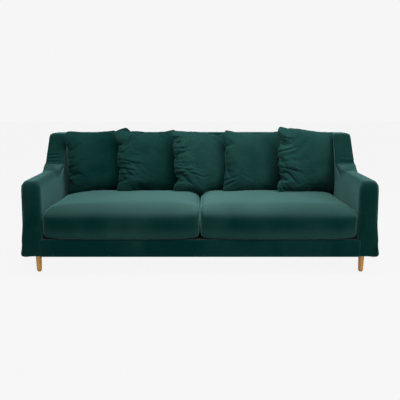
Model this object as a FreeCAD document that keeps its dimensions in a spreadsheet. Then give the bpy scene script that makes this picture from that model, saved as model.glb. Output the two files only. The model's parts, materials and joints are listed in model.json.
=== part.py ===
"""Three-seater upholstered sofa with sloping arms, loose seat cushions and scatter back cushions.

Millimetres, +Z up, origin on the floor under the middle of the sofa. The front faces -Y and +X is to the
right of someone who looks at the front. Every size that can be set by itself is a cell of the sheet "Sizes".
"""
import FreeCAD, Part
import math
import os
import re
import Sketcher

Vector = FreeCAD.Vector
doc = FreeCAD.newDocument("sofa")

# Driving dimensions: millimetres, degrees and counts
SIZES = {
    # whole sofa
    "overall_width": 2230,
    "overall_depth": 950,
    "back_height": 850,
    "base_height": 112,
    "rear_foot_inset": 60,
    "clearance": 0.3,
    # arms, seen from the side: a level arm, a hollow swoop and a steep wing up to the back
    "arm_width": 125,
    "arm_height": 585,
    "arm_slope": 2,
    "arm_nose_radius": 60,
    "swoop_radius": 180,
    "wing_setback": 712,
    "wing_angle": 55.4,
    "wing_crest_radius": 70,
    "rear_crest_radius": 40,
    "arm_outer_round": 16,
    "arm_inner_round": 24,
    "cover_pad": 20,
    # base frame
    "rail_thickness": 25,
    "end_rail_thickness": 45,
    "rail_top": 206,
    "bearer_thickness": 25,
    "bearer_dish": 24,
    "bearer_shoulder": 70,
    "corner_block_depth": 62,
    "corner_block_height": 55,
    "dust_cover_thickness": 1.5,
    # arm frame
    "board_thickness": 15,
    "arm_post_depth": 45,
    "arm_sill_height": 40,
    "panel_margin": 70,
    "panel_web": 60,
    "panel_window_count": 3,
    "panel_window_radius": 25,
    # seat platform
    "webbing_bays": 12,
    "webbing_width": 70,
    "webbing_thickness": 2,
    "cross_webbing_count": 3,
    "cross_webbing_pitch": 180,
    "cross_webbing_first": 190,
    "webbing_tail": 22,
    "deck_height": 221,
    "deck_depth": 695,
    "border_round": 14,
    # back frame
    "back_recline": 13,
    "back_pad_thickness": 45,
    "back_pad_crest_radius": 30,
    "back_cap": 22,
    "back_post_thickness": 25,
    "back_top_rail_height": 70,
    "tuck_rail_height": 50,
    "tuck_rail_thickness": 20,
    # legs and fasteners
    "leg_top_radius": 19,
    "leg_bottom_radius": 15.5,
    "leg_foot_chamfer": 2,
    "leg_side_inset": 84,
    "leg_front_inset": 72,
    "leg_rear_inset": 78,
    "glide_radius": 11,
    "glide_height": 4,
    "leg_bolt_radius": 4,
    "leg_bolt_in_leg": 40,
    "tee_nut_radius": 6,
    "tee_nut_barrel": 12,
    "tee_nut_flange_radius": 11,
    "tee_nut_flange": 2,
    "arm_bolt_radius": 4,
    "arm_bolt_head_radius": 8,
    "arm_bolt_head": 5,
    "arm_bolt_in_rail": 50,
    "arm_bolt_inset": 130,
    "post_screw_radius": 3,
    "post_screw_head_radius": 6,
    "post_screw_head": 3,
    "post_screw_in_post": 40,
    "post_screw_edge": 25,
    "bolt_play": 0.05,
    # seat cushions
    "seat_height": 445,
    "seat_cushion_depth": 688,
    "seat_cushion_setback": 12,
    "seat_cushion_gap": 1.5,
    "seat_corner_radius": 55,
    "seat_core_margin": 75,
    "seat_core_height": 110,
    "seat_core_lift": 25,
    # scatter back cushions
    "scatter_size": 462,
    "scatter_draw_in": 11,
    "scatter_crown": 74,
    "scatter_pad_size": 290,
    "scatter_pad_thickness": 60,
    "scatter_pad_round": 40,
    "scatter_arm_gap": 15,
    "scatter_lap_gap": 9,
}

sheet = doc.addObject("Spreadsheet::Sheet", "Sizes")
for row, (alias, value) in enumerate(SIZES.items(), start=1):
    sheet.set(f"A{row}", alias)
    sheet.set(f"B{row}", str(value))
    sheet.setAlias(f"B{row}", alias)
doc.recompute()

ALIAS = re.compile(r"\b(" + "|".join(sorted(SIZES, key=len, reverse=True)) + r")\b")


def bound(formula):
    """The formula with each size's name pointing at its cell of the sheet."""
    return ALIAS.sub(r"Sizes.\1", formula)


def number(formula):
    """The present value of a formula."""
    value = sheet.evalExpression(bound(formula))
    return float(getattr(value, "Value", value))


# Places worked out from the driving dimensions
FRONT = "(-overall_depth / 2)"
FOOT_REAR = "(overall_depth / 2 - rear_foot_inset)"
HALF = "(overall_width / 2)"
ARM_INSIDE = "(overall_width / 2 - arm_width)"
INNER = "(overall_width / 2 - arm_width - clearance)"
COVERED = "(cover_pad + clearance)"
HALF_FRAME = f"({HALF} - {COVERED})"
ARM_FRAME_INSIDE = f"({ARM_INSIDE} + {COVERED})"
FRAME_FRONT = f"({FRONT} + {COVERED})"
FRAME_REAR = f"({FOOT_REAR} - {COVERED})"
REAR_RAIL_FRONT = f"({FRAME_REAR} - rail_thickness)"
RAIL_BOTTOM = "(base_height + dust_cover_thickness)"
DECK_UNDERSIDE = "(rail_top + 2 * webbing_thickness + 2 * clearance)"
BAY = f"(2 * {INNER} / webbing_bays)"
LEG_X = f"({HALF} - leg_side_inset)"
LEG_FRONT_Y = f"({FRONT} + leg_front_inset)"
LEG_REAR_Y = f"({FOOT_REAR} - leg_rear_inset)"
BLOCK_TOP = f"({RAIL_BOTTOM} + corner_block_height)"
CAP_BOTTOM = "(back_height - back_cap)"
POST_TOP = f"({CAP_BOTTOM} - clearance - back_top_rail_height)"
TUCK_BOTTOM = "deck_height"
TUCK_TOP = "(deck_height + tuck_rail_height)"
SILL_TOP = "(rail_top + arm_sill_height)"


def rear_face(z):
    """Y of the sofa's rear face at height z: it leans back from its foot to its top edge."""
    return f"({FOOT_REAR} + rear_foot_inset * (({z}) - base_height) / (back_height - base_height))"


def back_face(z, behind="0"):
    """Y, at height z, of a plane parallel to the front of the inner back and that far behind it."""
    return (f"({FRONT} + deck_depth + (({z}) - deck_height) * tan(back_recline)"
            f" + ({behind}) / cos(back_recline))")


BEHIND_PAD = "(back_pad_thickness + clearance)"
BEHIND_WEBBING = f"({BEHIND_PAD} + webbing_thickness)"


# Sketches and bodies
PLANES = {"XY": "XY_Plane", "XZ": "XZ_Plane", "YZ": "YZ_Plane"}
PIECES = []


def new_body(label):
    """An empty body that takes the label of the piece that it will be."""
    made = doc.addObject("PartDesign::Body", label)
    made.Label = label
    made.AllowCompound = True
    PIECES.append(made)
    return made


def sketch_on(body, plane, height, name):
    """A sketch on a principal plane of the body, moved along that plane's axis to a coordinate."""
    made = body.newObject("Sketcher::SketchObject", f"{body.Label}_{name}")
    role = PLANES[plane]
    made.AttachmentSupport = [(next(f for f in body.Origin.OriginFeatures if f.Role == role), "")]
    made.MapMode = "FlatFace"
    # the XZ plane faces -Y, so its offset runs the other way
    made.setExpression("AttachmentOffset.Base.z", bound(f"-({height})" if plane == "XZ" else height))
    return made


def constrain(sketch, kind, formula, *where):
    """A dimension of the sketch that follows a formula."""
    index = sketch.addConstraint(Sketcher.Constraint(kind, *where, number(formula)))
    sketch.setExpression(f"Constraints[{index}]", bound(formula))


def pin_point(sketch, shape, end, x, y):
    """Holds one point of a sketch at coordinates that follow formulas."""
    constrain(sketch, "DistanceX", x, -1, 1, shape, end)
    constrain(sketch, "DistanceY", y, -1, 1, shape, end)


def round_arc(centre, radius, start, end):
    """Arc that runs counter-clockwise from start to end."""
    first = math.atan2(start.y - centre.y, start.x - centre.x)
    last = math.atan2(end.y - centre.y, end.x - centre.x)
    if last < first:
        last += 2 * math.pi
    return Part.ArcOfCircle(Part.Circle(centre, Vector(0, 0, 1), radius), first, last)


def corner_of(before, point, after, radius):
    """Where a rounding leaves and meets the two runs of a corner, its centre, and whether it turns left."""
    to_before = (before - point).normalize()
    to_after = (after - point).normalize()
    half_angle = to_before.getAngle(to_after) / 2
    reach = radius / math.tan(half_angle)
    middle = (to_before + to_after).normalize()
    centre = point + middle * (radius / math.sin(half_angle))
    turns_left = (point - before).cross(after - point).z > 0
    return point + to_before * reach, point + to_after * reach, centre, turns_left


def add_outline(sketch, corners):
    """Closed outline of straight runs. Each corner is (x, y) or, where it is rounded, (x, y, radius)."""
    count = len(corners)
    points = [Vector(number(c[0]), number(c[1]), 0) for c in corners]
    leaves, meets, arcs = [], [], []
    for i, corner in enumerate(corners):
        if len(corner) == 2:
            leaves.append(points[i])
            meets.append(points[i])
            arcs.append(None)
            continue
        radius = number(corner[2])
        start, end, centre, left = corner_of(points[i - 1], points[i], points[(i + 1) % count], radius)
        leaves.append(start)
        meets.append(end)
        arc = round_arc(centre, radius, start, end) if left else round_arc(centre, radius, end, start)
        arcs.append((arc, left))
    runs = []
    for i in range(count):
        run = Part.LineSegment(meets[i], leaves[(i + 1) % count])
        runs.append(sketch.addGeometry(run, False))
    for i, corner in enumerate(corners):
        into, out_of = runs[i - 1], runs[i]
        point = sketch.addGeometry(Part.Point(points[i]), True)
        pin_point(sketch, point, 1, corner[0], corner[1])
        if arcs[i] is None:
            sketch.addConstraint(Sketcher.Constraint("Coincident", into, 2, point, 1))
            sketch.addConstraint(Sketcher.Constraint("Coincident", out_of, 1, point, 1))
            continue
        arc, left = arcs[i]
        rounding = sketch.addGeometry(arc, False)
        first, last = (1, 2) if left else (2, 1)
        sketch.addConstraint(Sketcher.Constraint("Tangent", into, 2, rounding, first))
        sketch.addConstraint(Sketcher.Constraint("Tangent", out_of, 1, rounding, last))
        constrain(sketch, "Radius", corner[2], rounding)
        sketch.addConstraint(Sketcher.Constraint("PointOnObject", point, 1, into))
        sketch.addConstraint(Sketcher.Constraint("PointOnObject", point, 1, out_of))


def add_circle(sketch, x, y, radius):
    """Circle whose centre and radius follow formulas."""
    circle = Part.Circle(Vector(number(x), number(y), 0), Vector(0, 0, 1), number(radius))
    shape = sketch.addGeometry(circle, False)
    pin_point(sketch, shape, 3, x, y)
    constrain(sketch, "Radius", radius, shape)


def rectangle(low_x, high_x, low_y, high_y, *radius):
    """Corners of a rectangle, all rounded alike where a radius is given."""
    corners = [(low_x, low_y), (high_x, low_y), (high_x, high_y), (low_x, high_y)]
    return [(x, y, *radius) for x, y in corners]


def pad(body, plane, low, thick, name, outlines=(), circles=()):
    """Adds a slab to the body: outlines and circles on a plane, from low to low + thick along its axis."""
    start = f"{low} + {thick}" if plane == "XZ" else low
    sketch = sketch_on(body, plane, start, f"{name}_outline")
    for corners in outlines:
        add_outline(sketch, corners)
    for circle in circles:
        add_circle(sketch, *circle)
    made = body.newObject("PartDesign::Pad", f"{body.Label}_{name}")
    made.Profile = sketch
    made.setExpression("Length", bound(thick))
    return made


def pocket(body, plane, low, thick, name, outlines=(), circles=()):
    """Cuts a slab out of the body, given as in pad, and checks that material went."""
    doc.recompute()
    before = body.Shape.Volume
    start = low if plane == "XZ" else f"{low} + {thick}"
    sketch = sketch_on(body, plane, start, f"{name}_outline")
    for corners in outlines:
        add_outline(sketch, corners)
    for circle in circles:
        add_circle(sketch, *circle)
    made = body.newObject("PartDesign::Pocket", f"{body.Label}_{name}")
    made.Profile = sketch
    made.setExpression("Length", bound(thick))
    doc.recompute()
    if body.Shape.Volume >= before:
        raise RuntimeError(f"{body.Label}: {name} cut nothing")
    return made


def plate(label, plane, low, thick, *outlines, circles=()):
    """A flat piece of one slab."""
    made = new_body(label)
    pad(made, plane, low, thick, "slab", outlines, circles)
    return made


def sides():
    """Name and sign of X for the left and the right of the sofa."""
    return (("left", "-"), ("right", ""))


def span_x(sign, near, far):
    """Lower X of a piece between two distances from the middle plane, on the side with that sign."""
    return f"(-({far}))" if sign == "-" else f"({near})"


# Base frame: rails, bearers and leg blocks
def build_base():
    half = HALF_FRAME
    screw_holes = [(x, z, "post_screw_radius + bolt_play") for x in POST_CENTRES for z in SCREW_HEIGHTS]
    plate("front_rail", "XZ", FRAME_FRONT, "rail_thickness",
          rectangle(f"-{half}", half, RAIL_BOTTOM, "rail_top"))
    plate("rear_rail", "XZ", REAR_RAIL_FRONT, "rail_thickness",
          rectangle(f"-{half}", half, RAIL_BOTTOM, "rail_top"), circles=screw_holes)
    behind_front_rail = f"({FRAME_FRONT} + rail_thickness)"
    for side, sign in sides():
        inner = f"({half} - end_rail_thickness)"
        rail = plate(f"{side}_end_rail", "YZ", span_x(sign, inner, half), "end_rail_thickness",
                     rectangle(behind_front_rail, REAR_RAIL_FRONT, RAIL_BOTTOM, "rail_top"))
        pocket(rail, "XY", "rail_top - arm_bolt_in_rail", "arm_bolt_in_rail", "bolt_holes",
               circles=[(x, y, "arm_bolt_radius + bolt_play") for x, y in arm_bolt_places(sign)])
        middle = f"2 * {BAY}"
        low = f"({middle} + back_post_thickness / 2)"
        plate(f"{side}_cross_bearer", "YZ", span_x(sign, low, f"{low} + bearer_thickness"),
              "bearer_thickness", bearer_outline(behind_front_rail, REAR_RAIL_FRONT))
    blocks = new_body("leg_corner_blocks")
    pad(blocks, "XY", RAIL_BOTTOM, "corner_block_height", "blocks",
        [block_outline(sx, sy) for sx in (-1, 1) for sy in (-1, 1)],
        [(x, y, "leg_bolt_radius + bolt_play") for x, y in leg_places()])
    pocket(blocks, "XY", f"{BLOCK_TOP} - tee_nut_barrel", "tee_nut_barrel", "nut_seats",
           circles=[(x, y, "tee_nut_radius + bolt_play") for x, y in leg_places()])


def bearer_outline(front, rear):
    """Bearer from rail to rail, dished on top so that the webbing can give."""
    top = "rail_top - 2 * webbing_thickness"
    dish = f"{top} - bearer_dish"
    slope = "bearer_dish"
    soft = "bearer_dish"
    return [(front, RAIL_BOTTOM), (rear, RAIL_BOTTOM), (rear, top),
            (f"{rear} - bearer_shoulder", top, soft), (f"{rear} - bearer_shoulder - {slope}", dish, soft),
            (f"{front} + bearer_shoulder + {slope}", dish, soft), (f"{front} + bearer_shoulder", top, soft),
            (front, top)]


def block_outline(sx, sy):
    """Plan of a leg block under an arm, in one corner of the base, with its inner corner cut off."""
    outer_x = f"({sx} * ({HALF_FRAME} - end_rail_thickness))"
    inner_x = f"({sx} * ({ARM_INSIDE} + clearance))"
    outer_y = f"({FRAME_FRONT} + rail_thickness)" if sy < 0 else REAR_RAIL_FRONT
    inner_y = f"({outer_y} - {sy} * corner_block_depth)"
    cut_x, cut_y = f"(({outer_x} + {inner_x}) / 2)", f"(({outer_y} + {inner_y}) / 2)"
    return [(outer_x, outer_y), (inner_x, outer_y), (inner_x, cut_y), (cut_x, inner_y), (outer_x, inner_y)]


def leg_places():
    """X and Y of the four legs."""
    return [(f"{sign}{LEG_X}", y) for _, sign in sides() for y in (LEG_FRONT_Y, LEG_REAR_Y)]


# Legs: turned, tapered, screwed up into the blocks
def build_legs():
    names = ["front_left_leg", "rear_left_leg", "front_right_leg", "rear_right_leg"]
    for name, (x, y) in zip(names, leg_places()):
        leg = new_body(name)
        profile = sketch_on(leg, "XZ", "0", "profile")
        bore = "leg_bolt_radius + bolt_play"
        bore_end = "base_height - leg_bolt_in_leg"
        add_outline(profile, [("0", "glide_height"), ("leg_bottom_radius - leg_foot_chamfer", "glide_height"),
                              ("leg_bottom_radius", "glide_height + leg_foot_chamfer"),
                              ("leg_top_radius", "base_height"), (bore, "base_height"), (bore, bore_end),
                              ("0", bore_end)])
        turned = leg.newObject("PartDesign::Revolution", f"{name}_turned")
        turned.Profile = profile
        turned.ReferenceAxis = (profile, ["V_Axis"])
        turned.Angle = 360
        leg.setExpression("Placement.Base.x", bound(x))
        leg.setExpression("Placement.Base.y", bound(y))
    glides = new_body("leg_glides")
    pad(glides, "XY", "0", "glide_height", "discs", circles=[(x, y, "glide_radius") for x, y in leg_places()])
    bolts = new_body("leg_bolts")
    pad(bolts, "XY", "base_height - leg_bolt_in_leg", f"{BLOCK_TOP} - base_height + leg_bolt_in_leg", "studs",
        circles=[(x, y, "leg_bolt_radius") for x, y in leg_places()])
    nuts = new_body("leg_tee_nuts")
    bores = [(x, y, "leg_bolt_radius + bolt_play") for x, y in leg_places()]
    barrels = [(x, y, "tee_nut_radius") for x, y in leg_places()]
    flanges = [(x, y, "tee_nut_flange_radius") for x, y in leg_places()]
    pad(nuts, "XY", f"{BLOCK_TOP} - tee_nut_barrel", "tee_nut_barrel", "barrels", circles=barrels + bores)
    pad(nuts, "XY", BLOCK_TOP, "tee_nut_flange", "flanges", circles=flanges + bores)


# Arms: one side profile serves the upholstery, the cavity in it and the two panels of the frame
def arm_profile(offset, bottom):
    """Corners of the arm's side profile, moved inwards by an offset, down to the given bottom height."""
    top = f"(back_height - ({offset}))"
    arm_drop = f"({offset}) / cos(arm_slope)"
    wing_drop = f"({offset}) / cos(wing_angle)"
    arm_front = f"({FRONT} + ({offset}))"
    nose_z = f"(arm_height + ({offset}) * tan(arm_slope) - {arm_drop})"
    swoop_y = (f"((arm_height - back_height + wing_setback * tan(wing_angle) + {wing_drop} - {arm_drop})"
               f" / (tan(wing_angle) - tan(arm_slope)))")
    swoop_z = f"(arm_height + {swoop_y} * tan(arm_slope) - {arm_drop})"
    crest_y = f"({FRONT} + wing_setback + ({wing_drop} - ({offset})) / tan(wing_angle))"
    rear_top = f"({rear_face(top)} - ({offset}))"
    rear_bottom = f"({rear_face(bottom)} - ({offset}))"
    return [(arm_front, bottom), (rear_bottom, bottom), (rear_top, top, f"rear_crest_radius - ({offset})"),
            (crest_y, top, f"wing_crest_radius - ({offset})"),
            (f"({FRONT} + {swoop_y})", swoop_z, f"swoop_radius + ({offset})"),
            (arm_front, nose_z, f"arm_nose_radius - ({offset})")]


def long_edges(shape, x, bottom):
    """Names of a slab's edges that lie in the plane at x, without those along its underside."""
    found = []
    for index, edge in enumerate(shape.Edges, start=1):
        box = edge.BoundBox
        in_plane = abs(box.XMin - x) < 0.01 and abs(box.XMax - x) < 0.01
        if in_plane and box.ZMax > bottom + 0.01:
            found.append(f"Edge{index}")
    return found


def build_arm_upholstery(side, sign):
    """Foam and velvet over one arm: a sleeve that is open below, and inside below the seat platform."""
    arm = new_body(f"{side}_arm_upholstery")
    low = span_x(sign, ARM_INSIDE, HALF)
    pad(arm, "YZ", low, "arm_width", "sleeve", [arm_profile("0", "base_height")])
    outside = number(f"{sign}{HALF}")
    inside = number(f"{sign}{ARM_INSIDE}")
    for name, x in (("outer_round", outside), ("inner_round", inside)):
        doc.recompute()
        rounding = arm.newObject("PartDesign::Fillet", f"{arm.Label}_{name}")
        base = arm.Group[-2]
        rounding.Base = (base, long_edges(base.Shape, x, number("base_height")))
        rounding.setExpression("Radius", bound(f"arm_{name}"))
    pocket(arm, "YZ", f"{low} + cover_pad", "arm_width - 2 * cover_pad", "cavity",
           [arm_profile("cover_pad", "base_height - cover_pad")])
    wall = span_x(sign, ARM_INSIDE, f"{ARM_INSIDE} + cover_pad")
    pocket(arm, "YZ", wall, "cover_pad", "tuck_in",
           [rectangle(f"{FRONT} + cover_pad", f"{FOOT_REAR} - cover_pad", "base_height - cover_pad",
                      DECK_UNDERSIDE)])


def panel_windows():
    """A row of lightening windows in an arm panel, under the level arm and a margin inside its outline."""
    low = "(rail_top + panel_margin)"
    high = "(arm_height - cover_pad - panel_margin)"
    count = int(number("panel_window_count"))
    start = f"({FRAME_FRONT} + panel_margin)"
    end = f"({REAR_RAIL_FRONT} - panel_margin)"
    width = f"(({end} - {start} - {count - 1} * panel_web) / {count})"
    windows = []
    for index in range(count):
        edge = f"({start} + {index} * ({width} + panel_web))"
        windows.append(rectangle(edge, f"({edge} + {width})", low, high, "panel_window_radius"))
    return windows


def arm_bolt_places(sign):
    """X and Y of the two bolts that hold an arm's sill down on the end rail."""
    near = f"({HALF_FRAME} - end_rail_thickness)"
    far = f"({HALF_FRAME} - board_thickness)"
    x = f"{sign}(({near} + {far}) / 2)"
    return [(x, f"({FRAME_FRONT} + arm_post_depth + arm_bolt_inset)"),
            (x, f"({REAR_RAIL_FRONT} - arm_post_depth - arm_bolt_inset)")]


def build_arm_frame(side, sign):
    """Two panels cut to the arm's profile, held apart by posts and by a sill that is bolted to the base."""
    windows = panel_windows()
    outline = arm_profile(COVERED, "rail_top")
    outer_low = f"({HALF_FRAME} - board_thickness)"
    inner_high = f"({ARM_FRAME_INSIDE} + board_thickness)"
    plate(f"{side}_arm_outer_panel", "YZ", span_x(sign, outer_low, HALF_FRAME), "board_thickness",
          outline, *windows)
    plate(f"{side}_arm_inner_panel", "YZ", span_x(sign, ARM_FRAME_INSIDE, inner_high), "board_thickness",
          outline, *windows)
    between = span_x(sign, inner_high, outer_low)
    width = f"({outer_low} - {inner_high})"
    post_front = f"({FRAME_FRONT})"
    post_top = "(arm_height - cover_pad - arm_nose_radius)"
    plate(f"{side}_arm_front_post", "YZ", between, width,
          rectangle(post_front, f"({post_front} + arm_post_depth)", "rail_top", post_top))
    rear = REAR_RAIL_FRONT
    wing_post_top = "(back_height - cover_pad - wing_crest_radius)"
    plate(f"{side}_arm_rear_post", "YZ", between, width,
          rectangle(f"({rear} - arm_post_depth)", rear, "rail_top", wing_post_top))
    sill = new_body(f"{side}_arm_sill")
    end_a, end_b = (f"{sign}{inner_high}", f"{sign}{outer_low}")
    low_x, high_x = (end_b, end_a) if sign else (end_a, end_b)
    pad(sill, "XY", "rail_top", "arm_sill_height", "board",
        [rectangle(low_x, high_x, f"({post_front} + arm_post_depth)", f"({rear} - arm_post_depth)")],
        [(x, y, "arm_bolt_radius + bolt_play") for x, y in arm_bolt_places(sign)])


def build_arm_bolts():
    """Bolts through the arm sills into the end rails."""
    bolts = new_body("arm_bolts")
    places = [place for _, sign in sides() for place in arm_bolt_places(sign)]
    pad(bolts, "XY", "rail_top - arm_bolt_in_rail", "arm_bolt_in_rail + arm_sill_height", "shanks",
        circles=[(x, y, "arm_bolt_radius") for x, y in places])
    pad(bolts, "XY", SILL_TOP, "arm_bolt_head", "heads",
        circles=[(x, y, "arm_bolt_head_radius") for x, y in places])


# Back frame and its upholstery
POST_CENTRES = [f"(-({INNER} - back_post_thickness / 2))", f"(-2 * {BAY})", f"(2 * {BAY})",
                f"({INNER} - back_post_thickness / 2)"]
SCREW_HEIGHTS = [f"({RAIL_BOTTOM} + post_screw_edge)", "(rail_top - post_screw_edge)"]


def build_back_frame():
    """Four notched posts on the rear rail, a top rail across them and a tuck rail let into their fronts."""
    notch = f"({BEHIND_WEBBING} + tuck_rail_thickness)"
    lap = "cover_pad + clearance"
    outline = [(back_face(RAIL_BOTTOM, BEHIND_WEBBING), RAIL_BOTTOM), (REAR_RAIL_FRONT, RAIL_BOTTOM),
               (REAR_RAIL_FRONT, "rail_top"), (f"{rear_face('rail_top')} - ({lap})", "rail_top"),
               (f"{rear_face(POST_TOP)} - ({lap})", POST_TOP),
               (back_face(POST_TOP, BEHIND_WEBBING), POST_TOP),
               (back_face(TUCK_TOP, BEHIND_WEBBING), TUCK_TOP), (back_face(TUCK_TOP, notch), TUCK_TOP),
               (back_face(TUCK_BOTTOM, notch), TUCK_BOTTOM),
               (back_face(TUCK_BOTTOM, BEHIND_WEBBING), TUCK_BOTTOM)]
    for index, centre in enumerate(POST_CENTRES, start=1):
        post = plate(f"back_post_{index}", "YZ", f"({centre} - back_post_thickness / 2)",
                     "back_post_thickness", outline)
        pocket(post, "XZ", f"({REAR_RAIL_FRONT} - post_screw_in_post)", "post_screw_in_post", "screw_holes",
               circles=[(centre, z, "post_screw_radius + bolt_play") for z in SCREW_HEIGHTS])
    width = f"2 * {INNER}"
    top = f"({CAP_BOTTOM} - clearance)"
    plate("back_top_rail", "YZ", f"(-{INNER})", width,
          [(back_face(POST_TOP, BEHIND_WEBBING), POST_TOP), (f"{rear_face(POST_TOP)} - ({lap})", POST_TOP),
           (f"{rear_face(top)} - ({lap})", top), (back_face(top, BEHIND_WEBBING), top)])
    plate("back_tuck_rail", "YZ", f"(-{INNER})", width,
          [(back_face(TUCK_BOTTOM, BEHIND_WEBBING), TUCK_BOTTOM),
           (back_face(TUCK_BOTTOM, notch), TUCK_BOTTOM), (back_face(TUCK_TOP, notch), TUCK_TOP),
           (back_face(TUCK_TOP, BEHIND_WEBBING), TUCK_TOP)])
    screws = new_body("back_post_screws")
    places = [(x, z) for x in POST_CENTRES for z in SCREW_HEIGHTS]
    pad(screws, "XZ", f"({REAR_RAIL_FRONT} - post_screw_in_post)", "post_screw_in_post + rail_thickness",
        "shanks", circles=[(x, z, "post_screw_radius") for x, z in places])
    pad(screws, "XZ", FRAME_REAR, "post_screw_head", "heads",
        circles=[(x, z, "post_screw_head_radius") for x, z in places])


def build_back_upholstery():
    """Padded inner back that turns over the top rail, and the outer back that closes the rear."""
    width = f"2 * {INNER}"
    foot = DECK_UNDERSIDE
    plate("inner_back_pad", "YZ", f"(-{INNER})", width,
          [(back_face(foot), foot), (back_face(foot, "back_pad_thickness"), foot),
           (back_face(CAP_BOTTOM, "back_pad_thickness"), CAP_BOTTOM), (rear_face(CAP_BOTTOM), CAP_BOTTOM),
           (rear_face("back_height"), "back_height", "back_cap / 2"),
           (back_face("back_height"), "back_height", "back_pad_crest_radius")])
    top = f"({CAP_BOTTOM} - clearance)"
    back = plate("outer_back_pad", "YZ", f"(-{INNER})", width,
                 [(f"{rear_face('base_height')} - cover_pad", "base_height"),
                  (rear_face("base_height"), "base_height"), (rear_face(top), top),
                  (f"{rear_face(top)} - cover_pad", top)])
    places = [(x, z) for x in POST_CENTRES for z in SCREW_HEIGHTS]
    pocket(back, "XZ", f"({FOOT_REAR} - cover_pad)", "post_screw_head + clearance + cover_pad / 10",
           "screw_recesses", circles=[(x, z, "post_screw_head_radius + clearance") for x, z in places])


# Seat platform: interlaced webbing under a felt deck, with the border in front and the dust cover below
def build_webbing():
    straps = new_body("seat_webbing")
    pad(straps, "XY", "rail_top", "webbing_thickness", "straps",
        [rectangle(f"({x} - webbing_width / 2)", f"({x} + webbing_width / 2)", FRAME_FRONT, FRAME_REAR)
         for x in strap_centres()])
    cross = new_body("seat_cross_webbing")
    for index in range(int(number("cross_webbing_count"))):
        start = f"({FRONT} + cross_webbing_first + {index} * cross_webbing_pitch)"
        pad(cross, "XZ", start, "webbing_width", f"strap_{index + 1}", [woven_outline(index)])
    back = new_body("back_webbing")
    top = f"({CAP_BOTTOM} - clearance)"
    strap = [(back_face(TUCK_BOTTOM, BEHIND_PAD), TUCK_BOTTOM),
             (back_face(TUCK_BOTTOM, BEHIND_WEBBING), TUCK_BOTTOM),
             (back_face(top, BEHIND_WEBBING), top), (back_face(top, BEHIND_PAD), top)]
    for index, x in enumerate(strap_centres(), start=1):
        pad(back, "YZ", f"({x} - webbing_width / 2)", "webbing_width", f"strap_{index}", [strap])


def strap_centres():
    """X of the straps, one in the middle of each bay between the arms."""
    bays = int(number("webbing_bays"))
    return [f"(({index} + 0.5) * {BAY} - {INNER})" for index in range(bays)]


def woven_outline(index):
    """A strap between the end rails that goes under and over the seat straps, with ends turned down."""
    under = "(rail_top - clearance - webbing_thickness)"
    over = "(rail_top + webbing_thickness + clearance)"
    reach = "(webbing_width / 2 + 2 * webbing_thickness)"
    end = f"({HALF_FRAME} - end_rail_thickness)"
    turn = f"({end} - webbing_thickness)"
    run = []
    for bay, centre in enumerate(strap_centres()):
        level = over if (bay + index) % 2 else under
        run += [(f"({centre} - {reach})", level), (f"({centre} + {reach})", level)]
    tail = f"({under} - webbing_tail)"
    run = [(f"-{INNER}", under), *run, (INNER, under)]
    lower = [(f"-{end}", tail), (f"-{turn}", tail), (f"-{turn}", under), *run, (turn, under), (turn, tail),
             (end, tail)]
    upper = [(x, f"({level} + webbing_thickness)") for x, level in [(f"-{end}", under), *run, (end, under)]]
    return lower + upper[::-1]


def build_platform():
    plate("seat_platform", "XY", DECK_UNDERSIDE, f"deck_height - {DECK_UNDERSIDE}",
          rectangle(f"-{INNER}", INNER, f"({FRONT} + cover_pad + clearance)",
                    f"({back_face(DECK_UNDERSIDE)} - clearance)"))
    plate("front_border", "YZ", f"(-{INNER})", f"2 * {INNER}",
          [(FRONT, "base_height"), (f"({FRONT} + cover_pad)", "base_height"),
           (f"({FRONT} + cover_pad)", "deck_height"), (FRONT, "deck_height", "border_round")])
    plate("dust_cover", "XY", "base_height", "dust_cover_thickness",
          rectangle(f"-{HALF_FRAME}", HALF_FRAME, FRAME_FRONT, FRAME_REAR),
          circles=[(x, y, "leg_bolt_radius + bolt_play") for x, y in leg_places()])


# Seat cushions: a foam core in a crowned, fibre-wrapped velvet cover
# Each level of the cover: share of its height, and inset from its widest outline as a share of that height
SEAT_LEVELS = [(0.0, 0.13), (0.04, 0.06), (0.12, 0.02), (0.3, 0.0), (0.5, 0.012), (0.64, 0.06), (0.76, 0.16),
               (0.86, 0.33), (0.94, 0.58), (1.0, 1.0)]


def build_seat_cushion(side, sign):
    bottom = "(deck_height + clearance)"
    height = f"(seat_height - {bottom})"
    near, far = "seat_cushion_gap", f"({INNER} - seat_cushion_gap)"
    low_x = f"(-{far})" if sign else near
    high_x = f"(-{near})" if sign else far
    low_y = f"({FRONT} + seat_cushion_setback)"
    high_y = f"({low_y} + seat_cushion_depth)"
    cover = new_body(f"{side}_seat_cover")
    levels = []
    for index, (rise, inset) in enumerate(SEAT_LEVELS):
        level = sketch_on(cover, "XY", f"{bottom} + {height} * {rise}", f"level_{index}")
        inward = f"{height} * {inset}"
        add_outline(level, rectangle(f"({low_x} + {inward})", f"({high_x} - {inward})",
                                     f"({low_y} + {inward})", f"({high_y} - {inward})", "seat_corner_radius"))
        levels.append(level)
    loft = cover.newObject("PartDesign::AdditiveLoft", f"{side}_seat_crown")
    loft.Profile = levels[0]
    loft.Sections = levels[1:]
    loft.Ruled = True
    core_bottom = f"({bottom} + seat_core_lift)"
    margin = "seat_core_margin"
    room = rectangle(f"({low_x} + {margin})", f"({high_x} - {margin})", f"({low_y} + {margin})",
                     f"({high_y} - {margin})")
    pocket(cover, "XY", core_bottom, "seat_core_height", "core_room", [room])
    gap = "clearance"
    plate(f"{side}_seat_core", "XY", core_bottom, f"seat_core_height - {gap}",
          rectangle(f"({low_x} + {margin} + {gap})", f"({high_x} - {margin} - {gap})",
                    f"({low_y} + {margin} + {gap})", f"({high_y} - {margin} - {gap})"))


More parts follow.
